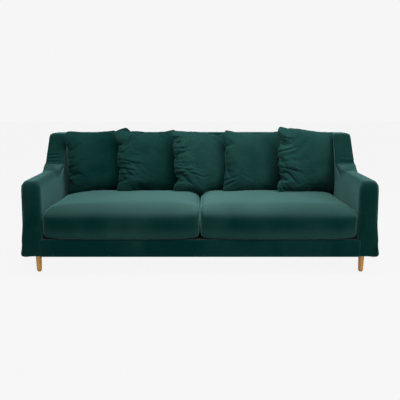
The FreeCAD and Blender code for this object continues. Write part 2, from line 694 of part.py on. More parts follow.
# Scatter cushions: two crowned halves that meet in a seam, with a feather pad inside
# Each level of a half: share of the crown, share of the size, and how far its sides bow out, as such a share
SCATTER_LEVELS = [(0.38, 0.91, 0.015), (0.7, 0.74, 0.04), (0.91, 0.5, 0.06), (1.0, 0.22, 0.04)]
# Each cushion from the left: how far it strays from an even row, its roll in its own plane and its extra turn
SCATTER_PLACES = [(2, 7.5, 0.0), (-8, 4.0, 0.0), (26, 3.5, 0.0), (20, 1.0, 0.0), (20, -0.5, 8.0)]


def add_bowed_square(sketch, half, bow):
    """Square outline whose four sides are arcs that bow outwards, or inwards where bow is negative."""
    size, rise = number(half), number(bow)
    radius = f"((({half}) ^ 2 + ({bow}) ^ 2) / (2 * abs({bow})))"
    signs = [(-1, -1), (1, -1), (1, 1), (-1, 1)]
    arcs = []
    for index, (sx, sy) in enumerate(signs):
        nx, ny = signs[(index + 1) % 4]
        start, end = Vector(sx * size, sy * size, 0), Vector(nx * size, ny * size, 0)
        middle = Vector(sx + nx, sy + ny, 0) * ((size + rise) / 2)
        centre = Part.Arc(start, middle, end).toShape().Curve.Center
        reach = (start - centre).Length
        arc = round_arc(centre, reach, start, end) if rise > 0 else round_arc(centre, reach, end, start)
        arcs.append(sketch.addGeometry(arc, False))
    first, last = (1, 2) if rise > 0 else (2, 1)
    for index, (sx, sy) in enumerate(signs):
        joint = Sketcher.Constraint("Coincident", arcs[index], last, arcs[(index + 1) % 4], first)
        sketch.addConstraint(joint)
        pin_point(sketch, arcs[index], first, f"{sx} * ({half})", f"{sy} * ({half})")
        constrain(sketch, "Radius", radius, arcs[index])


def build_scatter_cushion(index):
    """One cushion and its pad, lying flat on their own origin with the front upwards."""
    half = "(scatter_size / 2)"
    cover = new_body(f"back_cushion_{index}_cover")
    for name, side in (("front", 1), ("rear", -1)):
        levels = [(0.0, 1.0, "-scatter_draw_in")]
        levels += [(rise, share, f"{half} * {bow}") for rise, share, bow in SCATTER_LEVELS]
        sections = []
        for step, (rise, share, bow) in enumerate(levels):
            level = sketch_on(cover, "XY", f"{side} * scatter_crown * {rise}", f"{name}_level_{step}")
            add_bowed_square(level, f"{half} * {share}", bow)
            sections.append(level)
        loft = cover.newObject("PartDesign::AdditiveLoft", f"{cover.Label}_{name}_half")
        loft.Profile = sections[0]
        loft.Sections = sections[1:]
        loft.Ruled = True
    room = "(scatter_pad_size / 2)"
    low = "(-scatter_pad_thickness / 2)"
    pocket(cover, "XY", low, "scatter_pad_thickness", "pad_room",
           [rectangle(f"-{room}", room, f"-{room}", room, "scatter_pad_round")])
    inside = f"({room} - clearance)"
    filling = plate(f"back_cushion_{index}_pad", "XY", low, "scatter_pad_thickness - clearance",
                    rectangle(f"-{inside}", inside, f"-{inside}", inside, "scatter_pad_round"))
    return cover, filling


def half_thickness(share):
    """Half thickness of a scatter cushion at a share of the way from its middle to the middle of a side."""
    outer_rise, outer_share = 0.0, 1.0
    for rise, level_share, bow in SCATTER_LEVELS:
        inner_share = level_share + bow
        if share >= inner_share:
            part = (outer_share - share) / (outer_share - inner_share)
            return number("scatter_crown") * (outer_rise + (rise - outer_rise) * part)
        outer_rise, outer_share = rise, inner_share
    return number("scatter_crown")


def row_centres():
    """X of the cushions: an even row from arm to arm, in which each one strays a little."""
    end = number(f"{INNER} - scatter_size / 2 - scatter_arm_gap")
    pitch = 2 * end / (len(SCATTER_PLACES) - 1)
    return [index * pitch - end + stray for index, (stray, _, _) in enumerate(SCATTER_PLACES)]


def lap_turn(centres):
    """Turn that puts each cushion's left edge just in front of its neighbour's right edge, in degrees."""
    middle = min(right - left for left, right in zip(centres, centres[1:])) / 2
    turn = 0.0
    for _ in range(20):
        thickness = half_thickness(middle * math.cos(turn) / number("scatter_size / 2"))
        turn = math.asin((thickness + number("scatter_lap_gap / 2")) / middle)
    return math.degrees(turn)


def build_scatter_row():
    """Leans each cushion on the inner back and lowers it until its foot, seen as straight, meets the seat."""
    recline, gap, half = number("back_recline"), number("clearance"), number("scatter_size / 2")
    lean = FreeCAD.Rotation(Vector(1, 0, 0), 90 - recline)
    up, away = lean.multVec(Vector(0, 1, 0)), lean.multVec(Vector(0, 0, 1))
    foot = Vector(0, number(back_face("seat_height")), number("seat_height"))
    seats = [piece.Shape for piece in PIECES if piece.Label.endswith("_seat_cover")]
    centres = row_centres()
    turn = lap_turn(centres)
    for index, (x, (_, roll, extra_turn)) in enumerate(zip(centres, SCATTER_PLACES), start=1):
        pieces = build_scatter_cushion(index)
        doc.recompute()
        in_row = FreeCAD.Rotation(Vector(0, 1, 0), turn + extra_turn)
        in_row = in_row.multiply(FreeCAD.Rotation(Vector(0, 0, 1), roll))
        cushion = pieces[0].Shape.copy()
        cushion.Placement = FreeCAD.Placement(Vector(0, 0, 0), in_row)
        extent = cushion.optimalBoundingBox(False, False)
        place = foot + Vector(x, 0, 0) + away * (gap - extent.ZMin) + up * (gap - extent.YMin)
        cushion.Placement = FreeCAD.Placement(place, lean.multiply(in_row))
        straight_foot = Part.makeLine(Vector(-half, -half, 0), Vector(half, -half, 0))
        straight_foot.Placement = cushion.Placement
        lowered = (cushion, straight_foot)
        room = gap
        while room > gap / 20:
            room = min(shape.distToShape(seat)[0] for shape in lowered for seat in seats) - gap
            place = place - up * room
            for shape in lowered:
                shape.Placement = FreeCAD.Placement(place, lean.multiply(in_row))
        for piece in pieces:
            piece.Placement = cushion.Placement


build_base()
build_legs()
for side_name, side_sign in sides():
    build_arm_upholstery(side_name, side_sign)
    build_arm_frame(side_name, side_sign)
    build_seat_cushion(side_name, side_sign)
build_arm_bolts()
build_back_frame()
build_back_upholstery()
build_webbing()
build_platform()
doc.recompute()
build_scatter_row()
doc.recompute()

for made in doc.Objects:
    if "Invalid" in made.State or "Error" in made.State:
        raise RuntimeError(f"{made.Label}: {made.State}")
os.makedirs("parts", exist_ok=True)
for piece in PIECES:
    if piece.Shape.isNull() or not piece.Shape.isValid():
        raise RuntimeError(f"{piece.Label}: no valid shape")
    piece.Shape.exportStep(f"parts/{piece.Label}.step")
print(len(PIECES), "pieces")
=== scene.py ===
# %% [markdown]
# # A three-seater velvet sofa
# The CAD model already knows where every piece is and how it moves. This lesson dresses it: tight upholstery on the
# frame, two crowned seat cushions, five loose scatter cushions, oak legs, and the small things that a sewing room adds.
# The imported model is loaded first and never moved, so that every new piece can be placed from it, in metres.

# %% Load the frame
import json
import math
from collections import namedtuple

import bmesh
import bpy
import numpy as np
from mathutils import Matrix, Vector
from mathutils.bvhtree import BVHTree


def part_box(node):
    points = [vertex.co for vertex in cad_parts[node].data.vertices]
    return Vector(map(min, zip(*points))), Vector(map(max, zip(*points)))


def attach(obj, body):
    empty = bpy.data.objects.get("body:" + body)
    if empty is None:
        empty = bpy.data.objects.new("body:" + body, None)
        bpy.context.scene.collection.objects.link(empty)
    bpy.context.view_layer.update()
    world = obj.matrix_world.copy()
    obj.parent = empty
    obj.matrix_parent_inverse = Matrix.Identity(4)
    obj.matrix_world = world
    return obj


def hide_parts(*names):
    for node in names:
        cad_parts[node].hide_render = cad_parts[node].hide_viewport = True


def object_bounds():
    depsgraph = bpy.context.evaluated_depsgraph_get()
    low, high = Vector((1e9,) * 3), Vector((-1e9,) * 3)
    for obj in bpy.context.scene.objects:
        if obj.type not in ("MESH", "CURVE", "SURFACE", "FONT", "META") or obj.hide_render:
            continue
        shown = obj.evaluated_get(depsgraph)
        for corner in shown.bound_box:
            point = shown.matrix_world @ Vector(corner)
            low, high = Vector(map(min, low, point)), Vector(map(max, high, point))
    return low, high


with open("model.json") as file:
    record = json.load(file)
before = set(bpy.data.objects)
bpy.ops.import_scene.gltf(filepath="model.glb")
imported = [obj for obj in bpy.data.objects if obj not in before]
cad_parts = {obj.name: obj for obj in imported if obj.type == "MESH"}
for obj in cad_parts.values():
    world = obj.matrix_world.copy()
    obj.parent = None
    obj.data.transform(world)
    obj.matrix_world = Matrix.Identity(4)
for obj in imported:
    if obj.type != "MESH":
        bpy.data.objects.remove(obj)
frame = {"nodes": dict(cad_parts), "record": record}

CAD_LOW, CAD_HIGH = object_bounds()
scene = bpy.context.scene

# %% [markdown]
# ## The camera
# The photograph is square and almost level with a long lens. Four things fix such a view: how far the camera is from
# the front of the sofa, how high it stands, how far it looks down, and its focal length. All four were read from the
# picture: the horizon from the way the arms and the seat converge, the distance from how much smaller the back looks.

# %% Camera
CAMERA_DISTANCE = 3.216
CAMERA_HEIGHT = 1.029
CAMERA_PITCH = math.radians(9.77)
FOCAL_IN_WIDTHS = 1.3285


def new_object(name, data):
    """An object at the origin, in the scene."""
    made = bpy.data.objects.new(name, data)
    scene.collection.objects.link(made)
    return made


camera_data = bpy.data.cameras.new("camera")
camera_data.sensor_width = 36
camera_data.lens = FOCAL_IN_WIDTHS * camera_data.sensor_width
camera = new_object("camera", camera_data)
camera.location = (0, CAD_LOW.y - CAMERA_DISTANCE, CAMERA_HEIGHT)
camera.rotation_euler = (math.pi / 2 - CAMERA_PITCH, 0, 0)
scene.camera = camera
scene.view_settings.view_transform = "Standard"
print("camera at", tuple(round(v, 3) for v in camera.location))

# %% [markdown]
# ## Floor, background and light
# A studio photograph of this kind has a pale, even ground. More light would make a floor that pale, but it would bleach
# the velvet too. So the floor shows the camera a steady pale tone and keeps a little of its own shading, which leaves
# the contact shadow under the sofa. A large soft box above and in front, a weaker one from the right, a faint one from
# the left and an even surrounding light give the velvet its bright tops and dark fronts.

# %% Meshes and nodes
def mesh_object(name, verts, faces, edges=()):
    """An object at the origin with a mesh of the given points."""
    mesh = bpy.data.meshes.new(name)
    mesh.from_pydata(verts, edges, faces)
    return new_object(name, mesh)


def feed(tree, node, inputs):
    """Fills inputs of a node: a socket is linked, anything else becomes the input's own value."""
    for key, value in inputs.items():
        if isinstance(value, bpy.types.NodeSocket):
            tree.links.new(value, node.inputs[key])
        else:
            node.inputs[key].default_value = value
    return node


def add_node(tree, kind, inputs=None, **settings):
    """A new node with its settings made and its inputs filled."""
    made = tree.nodes.new(kind)
    for key, value in settings.items():
        setattr(made, key, value)
    return feed(tree, made, inputs or {})


# %% Ground
GROUND_TONE = 0.922
GROUND_COLOUR = (GROUND_TONE, GROUND_TONE, GROUND_TONE, 1)
STEADY_SHARE = 0.975
FLOOR_HALF = 40


def seen_directly(tree):
    """Socket that is 1 for rays from the camera and for what gloss or glass shows of the ground."""
    ray = tree.nodes.new("ShaderNodeLightPath").outputs
    shown = ray["Is Camera Ray"]
    for other in ("Is Glossy Ray", "Is Transmission Ray"):
        shown = add_node(tree, "ShaderNodeMath", {0: shown, 1: ray[other]}, operation="MAXIMUM").outputs[0]
    return shown


def ground_material():
    """Pale ground: mostly a steady tone for the camera, plain matt for every other ray."""
    made = bpy.data.materials.new("pale_ground")
    made.use_nodes = True
    tree = made.node_tree
    tree.nodes.clear()
    matt = add_node(tree, "ShaderNodeBsdfDiffuse", {"Color": GROUND_COLOUR})
    steady = add_node(tree, "ShaderNodeEmission", {"Color": GROUND_COLOUR, "Strength": 1.0})
    share = add_node(tree, "ShaderNodeMath", {0: seen_directly(tree), 1: STEADY_SHARE}, operation="MULTIPLY")
    mix = add_node(tree, "ShaderNodeMixShader", {0: share.outputs[0], 1: matt.outputs[0], 2: steady.outputs[0]})
    add_node(tree, "ShaderNodeOutputMaterial", {"Surface": mix.outputs[0]})
    return made


floor_corners = [(x * FLOOR_HALF, y * FLOOR_HALF, 0) for x, y in ((-1, -1), (1, -1), (1, 1), (-1, 1))]
floor = mesh_object("floor", floor_corners, [(0, 1, 2, 3)])
floor.data.materials.append(ground_material())
print("floor:", 2 * FLOOR_HALF, "m square")

# %% Lamps and surrounding light
SKY_LIGHT = 0.42
# Place, the point that it looks at, width and height in metres, and power in watts
SOFT_BOXES = {"overhead_box": ((0.3, -0.7, 3.2), (0, 0.1, 0.4), (3.4, 2.0), 105),
              "right_box": ((3.2, -2.2, 2.1), (0.2, 0, 0.5), (1.6, 1.8), 52),
              "left_box": ((-3.4, -2.6, 1.8), (-0.2, 0, 0.5), (1.4, 1.6), 10)}

world = bpy.data.worlds.new("studio")
world.use_nodes = True
scene.world = world
sky = world.node_tree
sky_level = add_node(sky, "ShaderNodeMapRange", {"Value": seen_directly(sky), "To Min": SKY_LIGHT,
                                                 "To Max": GROUND_TONE})
feed(sky, sky.nodes["Background"], {"Color": (1, 1, 1, 1), "Strength": sky_level.outputs["Result"]})

for name, (place, target, size, power) in SOFT_BOXES.items():
    lamp = bpy.data.lights.new(name, "AREA")
    lamp.shape = "RECTANGLE"
    lamp.size, lamp.size_y = size
    lamp.energy = power
    soft_box = new_object(name, lamp)
    soft_box.location = place
    soft_box.rotation_euler = (Vector(target) - Vector(place)).to_track_quat("-Z", "Y").to_euler()
print("stage: floor, world and", len(SOFT_BOXES), "lamps")

# %% [markdown]
# ## Velvet
# Velvet is a short upright pile. Looked at straight on, light sinks between the fibres and the cloth looks nearly
# black-green; at a glancing angle the fibre sides catch light and it turns pale. Real hairs could be grown for that,
# but there would be millions; the shader's sheen lobe gives the same change at no cost. Light and shade are also
# painted into the colour: each piece carries a painted light value at its points, from 0 for the dark tone to 1 for
# the pale one, set from which way each face looks and where it lies, so that tops and fold ridges come out lighter
# and fold valleys darker. Where hands have brushed the pile it leans and looks lighter or darker; a soft noise gives
# that uneven tone, and a very fine noise gives the pile its grain.

# %% Patterns for materials
def new_material(name):
    """A material, its node tree, and the socket that gives places on the object."""
    made = bpy.data.materials.new(name)
    made.use_nodes = True
    return made, made.node_tree, made.node_tree.nodes.new("ShaderNodeTexCoord").outputs["Object"]


def noise(tree, place, scale, detail, roughness=0.5, distortion=0.0):
    """Socket of a noise pattern."""
    return add_node(tree, "ShaderNodeTexNoise", {"Vector": place, "Scale": scale, "Detail": detail,
                                                 "Roughness": roughness, "Distortion": distortion}).outputs["Fac"]


def two_tones(tree, factor, dark, light, dark_end=0.0, light_end=1.0):
    """Socket of a colour that goes from dark to light as the factor rises."""
    ramp = add_node(tree, "ShaderNodeValToRGB", {"Fac": factor})
    for k, (position, colour) in enumerate(((dark_end, dark), (light_end, light))):
        ramp.color_ramp.elements[k].position = position
        ramp.color_ramp.elements[k].color = colour
    return ramp.outputs["Color"]


def relief(tree, height, strength, distance):
    """Socket of a normal that follows a height pattern."""
    return add_node(tree, "ShaderNodeBump", {"Strength": strength, "Distance": distance,
                                             "Height": height}).outputs["Normal"]


print("materials so far:", len(bpy.data.materials))

# %% Velvet
# Dark tone of the upright pile; pale tones where painted light and the brushed noise are high
PILE_UPRIGHT = (0.0, 0.0165, 0.0138, 1)
PILE_BRUSHED_AND_LIT = (0.0500, 0.1150, 0.1060, 1)
CUSHION_BRUSHED_AND_LIT = (0.0370, 0.1150, 0.1060, 1)
SHEEN_TINT = (0.28, 0.66, 0.62, 1)
CLOUD_SHARE, CLOUD_LOWER = 0.22, 0.09
GRAIN_SCALE, SOFT_SCALE, GRAIN_SHARE = 900.0, 60.0, 0.35


def velvet_material(name, sheen, nap_scale, light_tone):
    """Deep green pile: lighter where the painted light value says so, with a soft unevenness and a fine grain."""
    made, tree, place = new_material(name)
    # Painted light from each point's value, with the soft noise of brushed pile added
    painted_light_value = add_node(tree, "ShaderNodeAttribute", attribute_name="painted_light_and_nap").outputs["Fac"]
    cloud = noise(tree, place, nap_scale, 3.0, 0.45, 0.6)
    painted_light_and_nap = add_node(tree, "ShaderNodeMath", {0: cloud, 1: CLOUD_SHARE, 2: painted_light_value}, operation="MULTIPLY_ADD")
    lower = add_node(tree, "ShaderNodeMath", {0: painted_light_and_nap.outputs[0], 1: CLOUD_LOWER}, operation="SUBTRACT")
    grain, soft = noise(tree, place, GRAIN_SCALE, 2.0), noise(tree, place, SOFT_SCALE, 3.0)
    height = add_node(tree, "ShaderNodeMath", {0: grain, 1: GRAIN_SHARE, 2: soft}, operation="MULTIPLY_ADD")
    feed(tree, tree.nodes["Principled BSDF"], {
        "Base Color": two_tones(tree, lower.outputs[0], PILE_UPRIGHT, light_tone),
        "Normal": relief(tree, height.outputs[0], 0.25, 0.0012),
        "Roughness": 0.9, "Specular IOR Level": 0.02,
        "Sheen Weight": sheen, "Sheen Roughness": 0.35, "Sheen Tint": SHEEN_TINT})
    return made


velvet = velvet_material("green_velvet", 0.60, 4.0, PILE_BRUSHED_AND_LIT)
cushion_velvet = velvet_material("green_velvet_cushion", 0.35, 7.0, CUSHION_BRUSHED_AND_LIT)
print("materials:", velvet.name, cushion_velvet.name)

# %% [markdown]
# ## Oak, and the plain materials under the cloth
# The legs are turned from oak and oiled: long grain along the leg, fine dark pores, and a slightly glossy skin. A wood
# texture node draws rings that are too regular for that, so two noises are stretched along the grain instead. Inside
# the sofa there are planed boards, plywood, webbing and zinc-plated fasteners, which show only if a cushion comes off;
# a speckle of two close tones is enough for what isn't wood.

# %% Wood
GRAIN_STRETCH = 0.06
PORE_SHARE = 0.35
PORE_TONE = (0.35, 0.25, 0.15, 1)
WHITE = (1, 1, 1, 1)


def grained(name, light, dark, along, fine, rings, roughness):
    """Wood whose grain runs along one axis: the pattern is stretched by a small scale on that axis."""
    made, tree, place = new_material(name)
    scale = [GRAIN_STRETCH if axis == along else 1.0 for axis in "XYZ"]
    stretched = add_node(tree, "ShaderNodeMapping", {"Vector": place, "Scale": scale}).outputs["Vector"]
    streak, pore = noise(tree, stretched, rings, 4.0, 0.6), noise(tree, stretched, fine, 2.0, 0.6)
    tone = two_tones(tree, streak, dark, light, 0.35, 0.62)
    pores = two_tones(tree, pore, PORE_TONE, WHITE, 0.40, 0.55)
    darker = add_node(tree, "ShaderNodeMix", {"Factor": PORE_SHARE, "A": tone, "B": pores}, data_type="RGBA",
                      blend_type="MULTIPLY")
    feed(tree, tree.nodes["Principled BSDF"], {"Base Color": darker.outputs["Result"],
                                               "Normal": relief(tree, pore, 0.15, 0.0004), "Roughness": roughness})
    return made


oak = grained("oiled_oak", (0.66, 0.33, 0.070, 1), (0.48, 0.22, 0.038, 1), "Z", 420.0, 55.0, 0.45)
softwood = grained("planed_softwood", (0.66, 0.45, 0.24, 1), (0.50, 0.31, 0.15, 1), "X", 300.0, 22.0, 0.7)
plywood = grained("birch_plywood", (0.66, 0.48, 0.28, 1), (0.52, 0.35, 0.18, 1), "Y", 260.0, 16.0, 0.65)
print("woods:", oak.name, softwood.name, plywood.name)

# %% Inner cloths, foam and metal
def speckled(name, dark, light, scale, roughness, metallic=0.0):
    """A material of two close tones in a fine speckle."""
    made, tree, place = new_material(name)
    fleck = noise(tree, place, scale, 3.0, 0.6)
    feed(tree, tree.nodes["Principled BSDF"], {
        "Base Color": two_tones(tree, fleck, dark, light, 0.35, 0.65), "Normal": relief(tree, fleck, 0.3, 0.0003),
        "Roughness": roughness, "Metallic": metallic})
    return made


webbing = speckled("elastic_webbing", (0.012, 0.010, 0.009, 1), (0.035, 0.03, 0.026, 1), 700.0, 0.8)
felt = speckled("platform_felt", (0.0010, 0.0060, 0.0052, 1), (0.0030, 0.0120, 0.0105, 1), 500.0, 0.95)
dust_cloth = speckled("dust_cloth", (0.006, 0.006, 0.006, 1), (0.02, 0.02, 0.02, 1), 800.0, 0.9)
zinc = speckled("zinc_plate", (0.45, 0.46, 0.47, 1), (0.62, 0.63, 0.64, 1), 300.0, 0.35, metallic=1.0)
glide = speckled("glide_felt", (0.02, 0.018, 0.016, 1), (0.05, 0.045, 0.04, 1), 600.0, 0.9)
foam = speckled("seat_foam", (0.62, 0.55, 0.38, 1), (0.74, 0.68, 0.5, 1), 500.0, 0.95)
ticking = speckled("cotton_ticking", (0.66, 0.65, 0.6, 1), (0.78, 0.77, 0.73, 1), 600.0, 0.9)
print("materials in all:", len(bpy.data.materials))

# %% Materials on the CAD nodes
SLOT_MATERIALS = {
    "velvet": velvet, "oiled_oak": oak, "frame_timber": softwood, "plywood": plywood, "webbing": webbing,
    "platform_felt": felt, "dust_cloth": dust_cloth, "zinc_steel": zinc, "glide_felt": glide, "foam": foam,
    "feather_pad": ticking,
}
for subpart in frame["record"]["subparts"]:
    node = frame["nodes"][subpart["node"]]
    node.data.materials.clear()
    node.data.materials.append(SLOT_MATERIALS[subpart["material_slot"]])

# %% [markdown]
# ## Side profile of an arm
# From the side an arm is one outline: up the front, round the nose, back along a nearly level top, through a hollow
# swoop and up a steep wing to the height of the back. The same sizes as in the CAD source, in metres, draw it here.

# %% Arm outline
ARM_LOW, ARM_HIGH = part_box("left_arm_upholstery")
BASE_Z, BACK_Z = ARM_LOW.z, ARM_HIGH.z
FRONT_Y = ARM_LOW.y
ARM_INSIDE_X, ARM_OUTSIDE_X = -ARM_HIGH.x, -ARM_LOW.x
ARM_TOP_Z = 0.585
ARM_SLOPE = math.radians(2)
NOSE_RADIUS = 0.060
SWOOP_RADIUS = 0.180
WING_SETBACK = 0.712
WING_ANGLE = math.radians(55.4)
CREST_RADIUS = 0.070
REAR_CREST_RADIUS = 0.040
REAR_TOP_Y = 0.475
REAR_FOOT_Y = 0.415
FOOT_ROUND = 0.006
OUTLINE_STEP = 0.012


def rounded(corners, step):
    """Points along a closed outline whose corners (y, z, radius) are rounded, about one step apart."""
    count = len(corners)
    points = []
    for i, (y, z, radius) in enumerate(corners):
        here = np.array((y, z))
        before = np.array(corners[i - 1][:2]) - here
        after = np.array(corners[(i + 1) % count][:2]) - here
        before, after = before / np.linalg.norm(before), after / np.linalg.norm(after)
        if radius == 0:
            points.append(here)
            continue
        half = math.acos(np.clip(before @ after, -1, 1)) / 2
        middle = before + after
        centre = here + middle / np.linalg.norm(middle) * radius / math.sin(half)
        start, end = here + before * radius / math.tan(half), here + after * radius / math.tan(half)
        turn = math.pi - 2 * half
        steps = max(2, int(round(turn * radius / step)))
        a, b = start - centre, end - centre
        for k in range(steps + 1):
            share = k / steps
            ray = (a * math.sin((1 - share) * turn) + b * math.sin(share * turn)) / math.sin(turn)
            points.append(centre + ray)
    dense = []
    for a, b in zip(points, points[1:] + points[:1]):
        pieces = max(1, int(round(np.linalg.norm(b - a) / step)))
        dense += [a + (b - a) * k / pieces for k in range(pieces)]
    return np.array(dense)


def arm_corners():
    """Corners of the arm's side outline, from the front foot up and over to the rear foot."""
    slope, rise = math.tan(ARM_SLOPE), math.tan(WING_ANGLE)
    swoop_y = (ARM_TOP_Z - BACK_Z + WING_SETBACK * rise) / (rise - slope)
    return [(FRONT_Y, BASE_Z, FOOT_ROUND), (FRONT_Y, ARM_TOP_Z, NOSE_RADIUS),
            (FRONT_Y + swoop_y, ARM_TOP_Z + swoop_y * slope, SWOOP_RADIUS),
            (FRONT_Y + WING_SETBACK, BACK_Z, CREST_RADIUS), (REAR_TOP_Y, BACK_Z, REAR_CREST_RADIUS),
            (REAR_FOOT_Y, BASE_Z, FOOT_ROUND)]


arm_outline = rounded(arm_corners(), OUTLINE_STEP)
print("arm outline:", len(arm_outline), "points")

# %% [markdown]
# ## Tools for tight upholstery
# Foam and velvet are pulled over a frame and stapled below, so the surface is smooth, its edges are soft, and it swells
# a little between its seams. It could be sculpted by hand, but then it could not be repeated. Here a prism of the
# outline is remeshed into even small quads, which can be moved point by point with a few smooth functions: a bell for a
# swelling or a crease, a step for a gradual change, and a rule that rounds the edge where two faces meet.

# %% Prisms and even quads
END_SEGMENTS = 5


def outward(obj):
    """Turns all faces of a closed mesh outwards."""
    shape = bmesh.new()
    shape.from_mesh(obj.data)
    bmesh.ops.recalc_face_normals(shape, faces=shape.faces)
    shape.to_mesh(obj.data)
    shape.free()
    return obj


def prism(name, outline, low_x, high_x):
    """Closed prism over a (y, z) outline, from one X to another."""
    count = len(outline)
    verts = [(x, y, z) for x in (low_x, high_x) for y, z in outline]
    faces = [tuple(range(count)), tuple(range(2 * count - 1, count - 1, -1))]
    faces += [(k, k + count, (k + 1) % count + count, (k + 1) % count) for k in range(count)]
    return outward(mesh_object(name, verts, faces))


def baked(obj):
    """Turns an object's modifiers into plain mesh."""
    view = bpy.context.evaluated_depsgraph_get()
    mesh = bpy.data.meshes.new_from_object(obj.evaluated_get(view), depsgraph=view)
    obj.modifiers.clear()
    obj.data = mesh
    return obj


def round_ends(obj, ends, radius):
    """Rounds the edges round both ends of a prism."""
    shape = bmesh.new()
    shape.from_mesh(obj.data)
    for x in ends:
        rim = [e for e in shape.edges if len(e.link_faces) == 2 and all(abs(v.co.x - x) < 1e-5 for v in e.verts)]
        bmesh.ops.bevel(shape, geom=rim, offset=radius, offset_type="OFFSET", segments=END_SEGMENTS, profile=0.5,
                        affect="EDGES", clamp_overlap=True)
    shape.to_mesh(obj.data)
    shape.free()


def even_quads(obj, voxel, smooth):
    """Even quads over the whole surface, then smoothed."""
    even = obj.modifiers.new("even", "REMESH")
    even.mode = "VOXEL"
    even.voxel_size = voxel
    relax = obj.modifiers.new("relax", "SMOOTH")
    relax.factor = 0.5
    relax.iterations = smooth
    return baked(obj)


print("faces on an arm before its remesh:", len(arm_outline) + 2)

# %% Moving points
def read_points(mesh, field="co"):
    """The mesh's points, or their normals, as rows of three numbers."""
    values = np.zeros(len(mesh.vertices) * 3)
    mesh.vertices.foreach_get(field, values)
    return values.reshape(-1, 3)


def write_points(mesh, points):
    """Moves the mesh's points to new places."""
    mesh.vertices.foreach_set("co", np.ascontiguousarray(points, dtype=float).ravel())
    mesh.update()


def bell(values, centre, width):
    """Smooth bump of height 1."""
    return np.exp(-((values - centre) / width) ** 2)


def smooth_step(values, low, high):
    """0 below low, 1 above high, and an even rise between them."""
    share = np.clip((values - low) / (high - low), 0, 1)
    return share * share * (3 - 2 * share)


def round_edge(first, second, radius):
    """Distances from two faces that meet, after the edge between them is rounded to a radius."""
    a, b = np.clip(1 - first / radius, 0, None), np.clip(1 - second / radius, 0, None)
    corner = (a > 0) & (b > 0)
    scale = np.where(corner, np.maximum(a, b) / np.maximum(np.hypot(a, b), 1e-9), 1)
    return np.where(corner, radius * (1 - a * scale), first), np.where(corner, radius * (1 - b * scale), second)


def spread(mesh, values, rounds):
    """Averages values over neighbouring points, round after round."""
    edges = np.zeros(len(mesh.edges) * 2, dtype=int)
    mesh.edges.foreach_get("vertices", edges)
    a, b = edges.reshape(-1, 2).T
    count = np.bincount(edges, minlength=len(values))[:, None]
    for _ in range(rounds):
        total = np.zeros_like(values)
        np.add.at(total, a, values[b])
        np.add.at(total, b, values[a])
        values = (values + total / count) / 2
    return values


print("a bell at its width:", round(float(bell(1.0, 0.0, 1.0)), 3), "and a step half way:", smooth_step(0.5, 0.0, 1.0))

# %% Painted light, and ties to the frame
def paint_light(obj, values):
    """Stores the painted light value at each point, for the velvet's colour."""
    painted_light_and_nap = obj.data.attributes.get("painted_light_and_nap") or obj.data.attributes.new("painted_light_and_nap", "FLOAT", "POINT")
    painted_light_and_nap.data.foreach_set("value", np.ascontiguousarray(np.clip(values, 0, 1), dtype=np.float32))


def dress(obj, body, *nodes, slot="velvet", fill=0.7, levels=1, material=None):
    """Material, smooth shading, subdivision, and the calls that tie a padded piece to the frame."""
    obj.data.materials.clear()
    obj.data.materials.append(material or velvet)
    obj.data.polygons.foreach_set("use_smooth", [True] * len(obj.data.polygons))
    if levels:
        fine = obj.modifiers.new("fine", "SUBSURF")
        fine.levels = fine.render_levels = levels
    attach(obj, body)
    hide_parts(*nodes)
    print(f"{obj.name}: {len(obj.data.polygons)} faces, on {body}")
    return obj


print("velvet for padded pieces:", velvet.name)

# %% [markdown]
# ## The two arms
# Each arm is a tight sleeve over a plywood frame. One bevel would round it alike everywhere, but the real edge changes
# on its way: soft along the outside and the level top, tight at the front of the wing. So each edge is rounded point by
# point with a radius that varies along the outline. The padding then swells, a pad ends in a low step at the foot of
# the wing, the hem flares over the bottom edge, and a few creases run across the wing where the cloth bunches in the
# hollow.

# %% Creases
# Creases along the wing's face: height, depth, half width, and how far the line wanders over the width of the arm
CREASES = {"left": [(0.697, 0.0062, 0.0058, 0.003), (0.677, 0.0075, 0.0058, -0.003), (0.657, 0.0065, 0.0060, 0.002)],
           "right": [(0.656, 0.0080, 0.0075, 0.004), (0.690, 0.0030, 0.0070, -0.005)]}


def crease_arm(points, normals, side, across):
    """Depth of the creases at each point; they fade towards both edges of the wing."""
    y, z = points[:, 1], points[:, 2]
    on_wing = np.clip(-normals[:, 1] * 1.6, 0, 1) * (z > 0.62) * (y > 0)
    fade = smooth_step(across, 0.06, 0.24) * smooth_step(1 - across, 0.04, 0.20)
    depth = np.zeros(len(points))
    for height, deep, half_width, wander in CREASES[side]:
        line = height + wander * np.sin(across * 4.0 + height * 90)
        depth += deep * (bell(z, line, half_width) - 0.55 * bell(z, line + 2.1 * half_width, 1.3 * half_width))
    return depth * on_wing * fade


print("creases:", {side: len(lines) for side, lines in CREASES.items()})

# %% Rounded edges
OUTER_ROUND, WING_OUTER_ROUND, WING_ROUND, TOP_ROUND = 0.056, 0.034, 0.012, 0.056
PAD_TOP_Z = 0.640
SKIN = 0.004


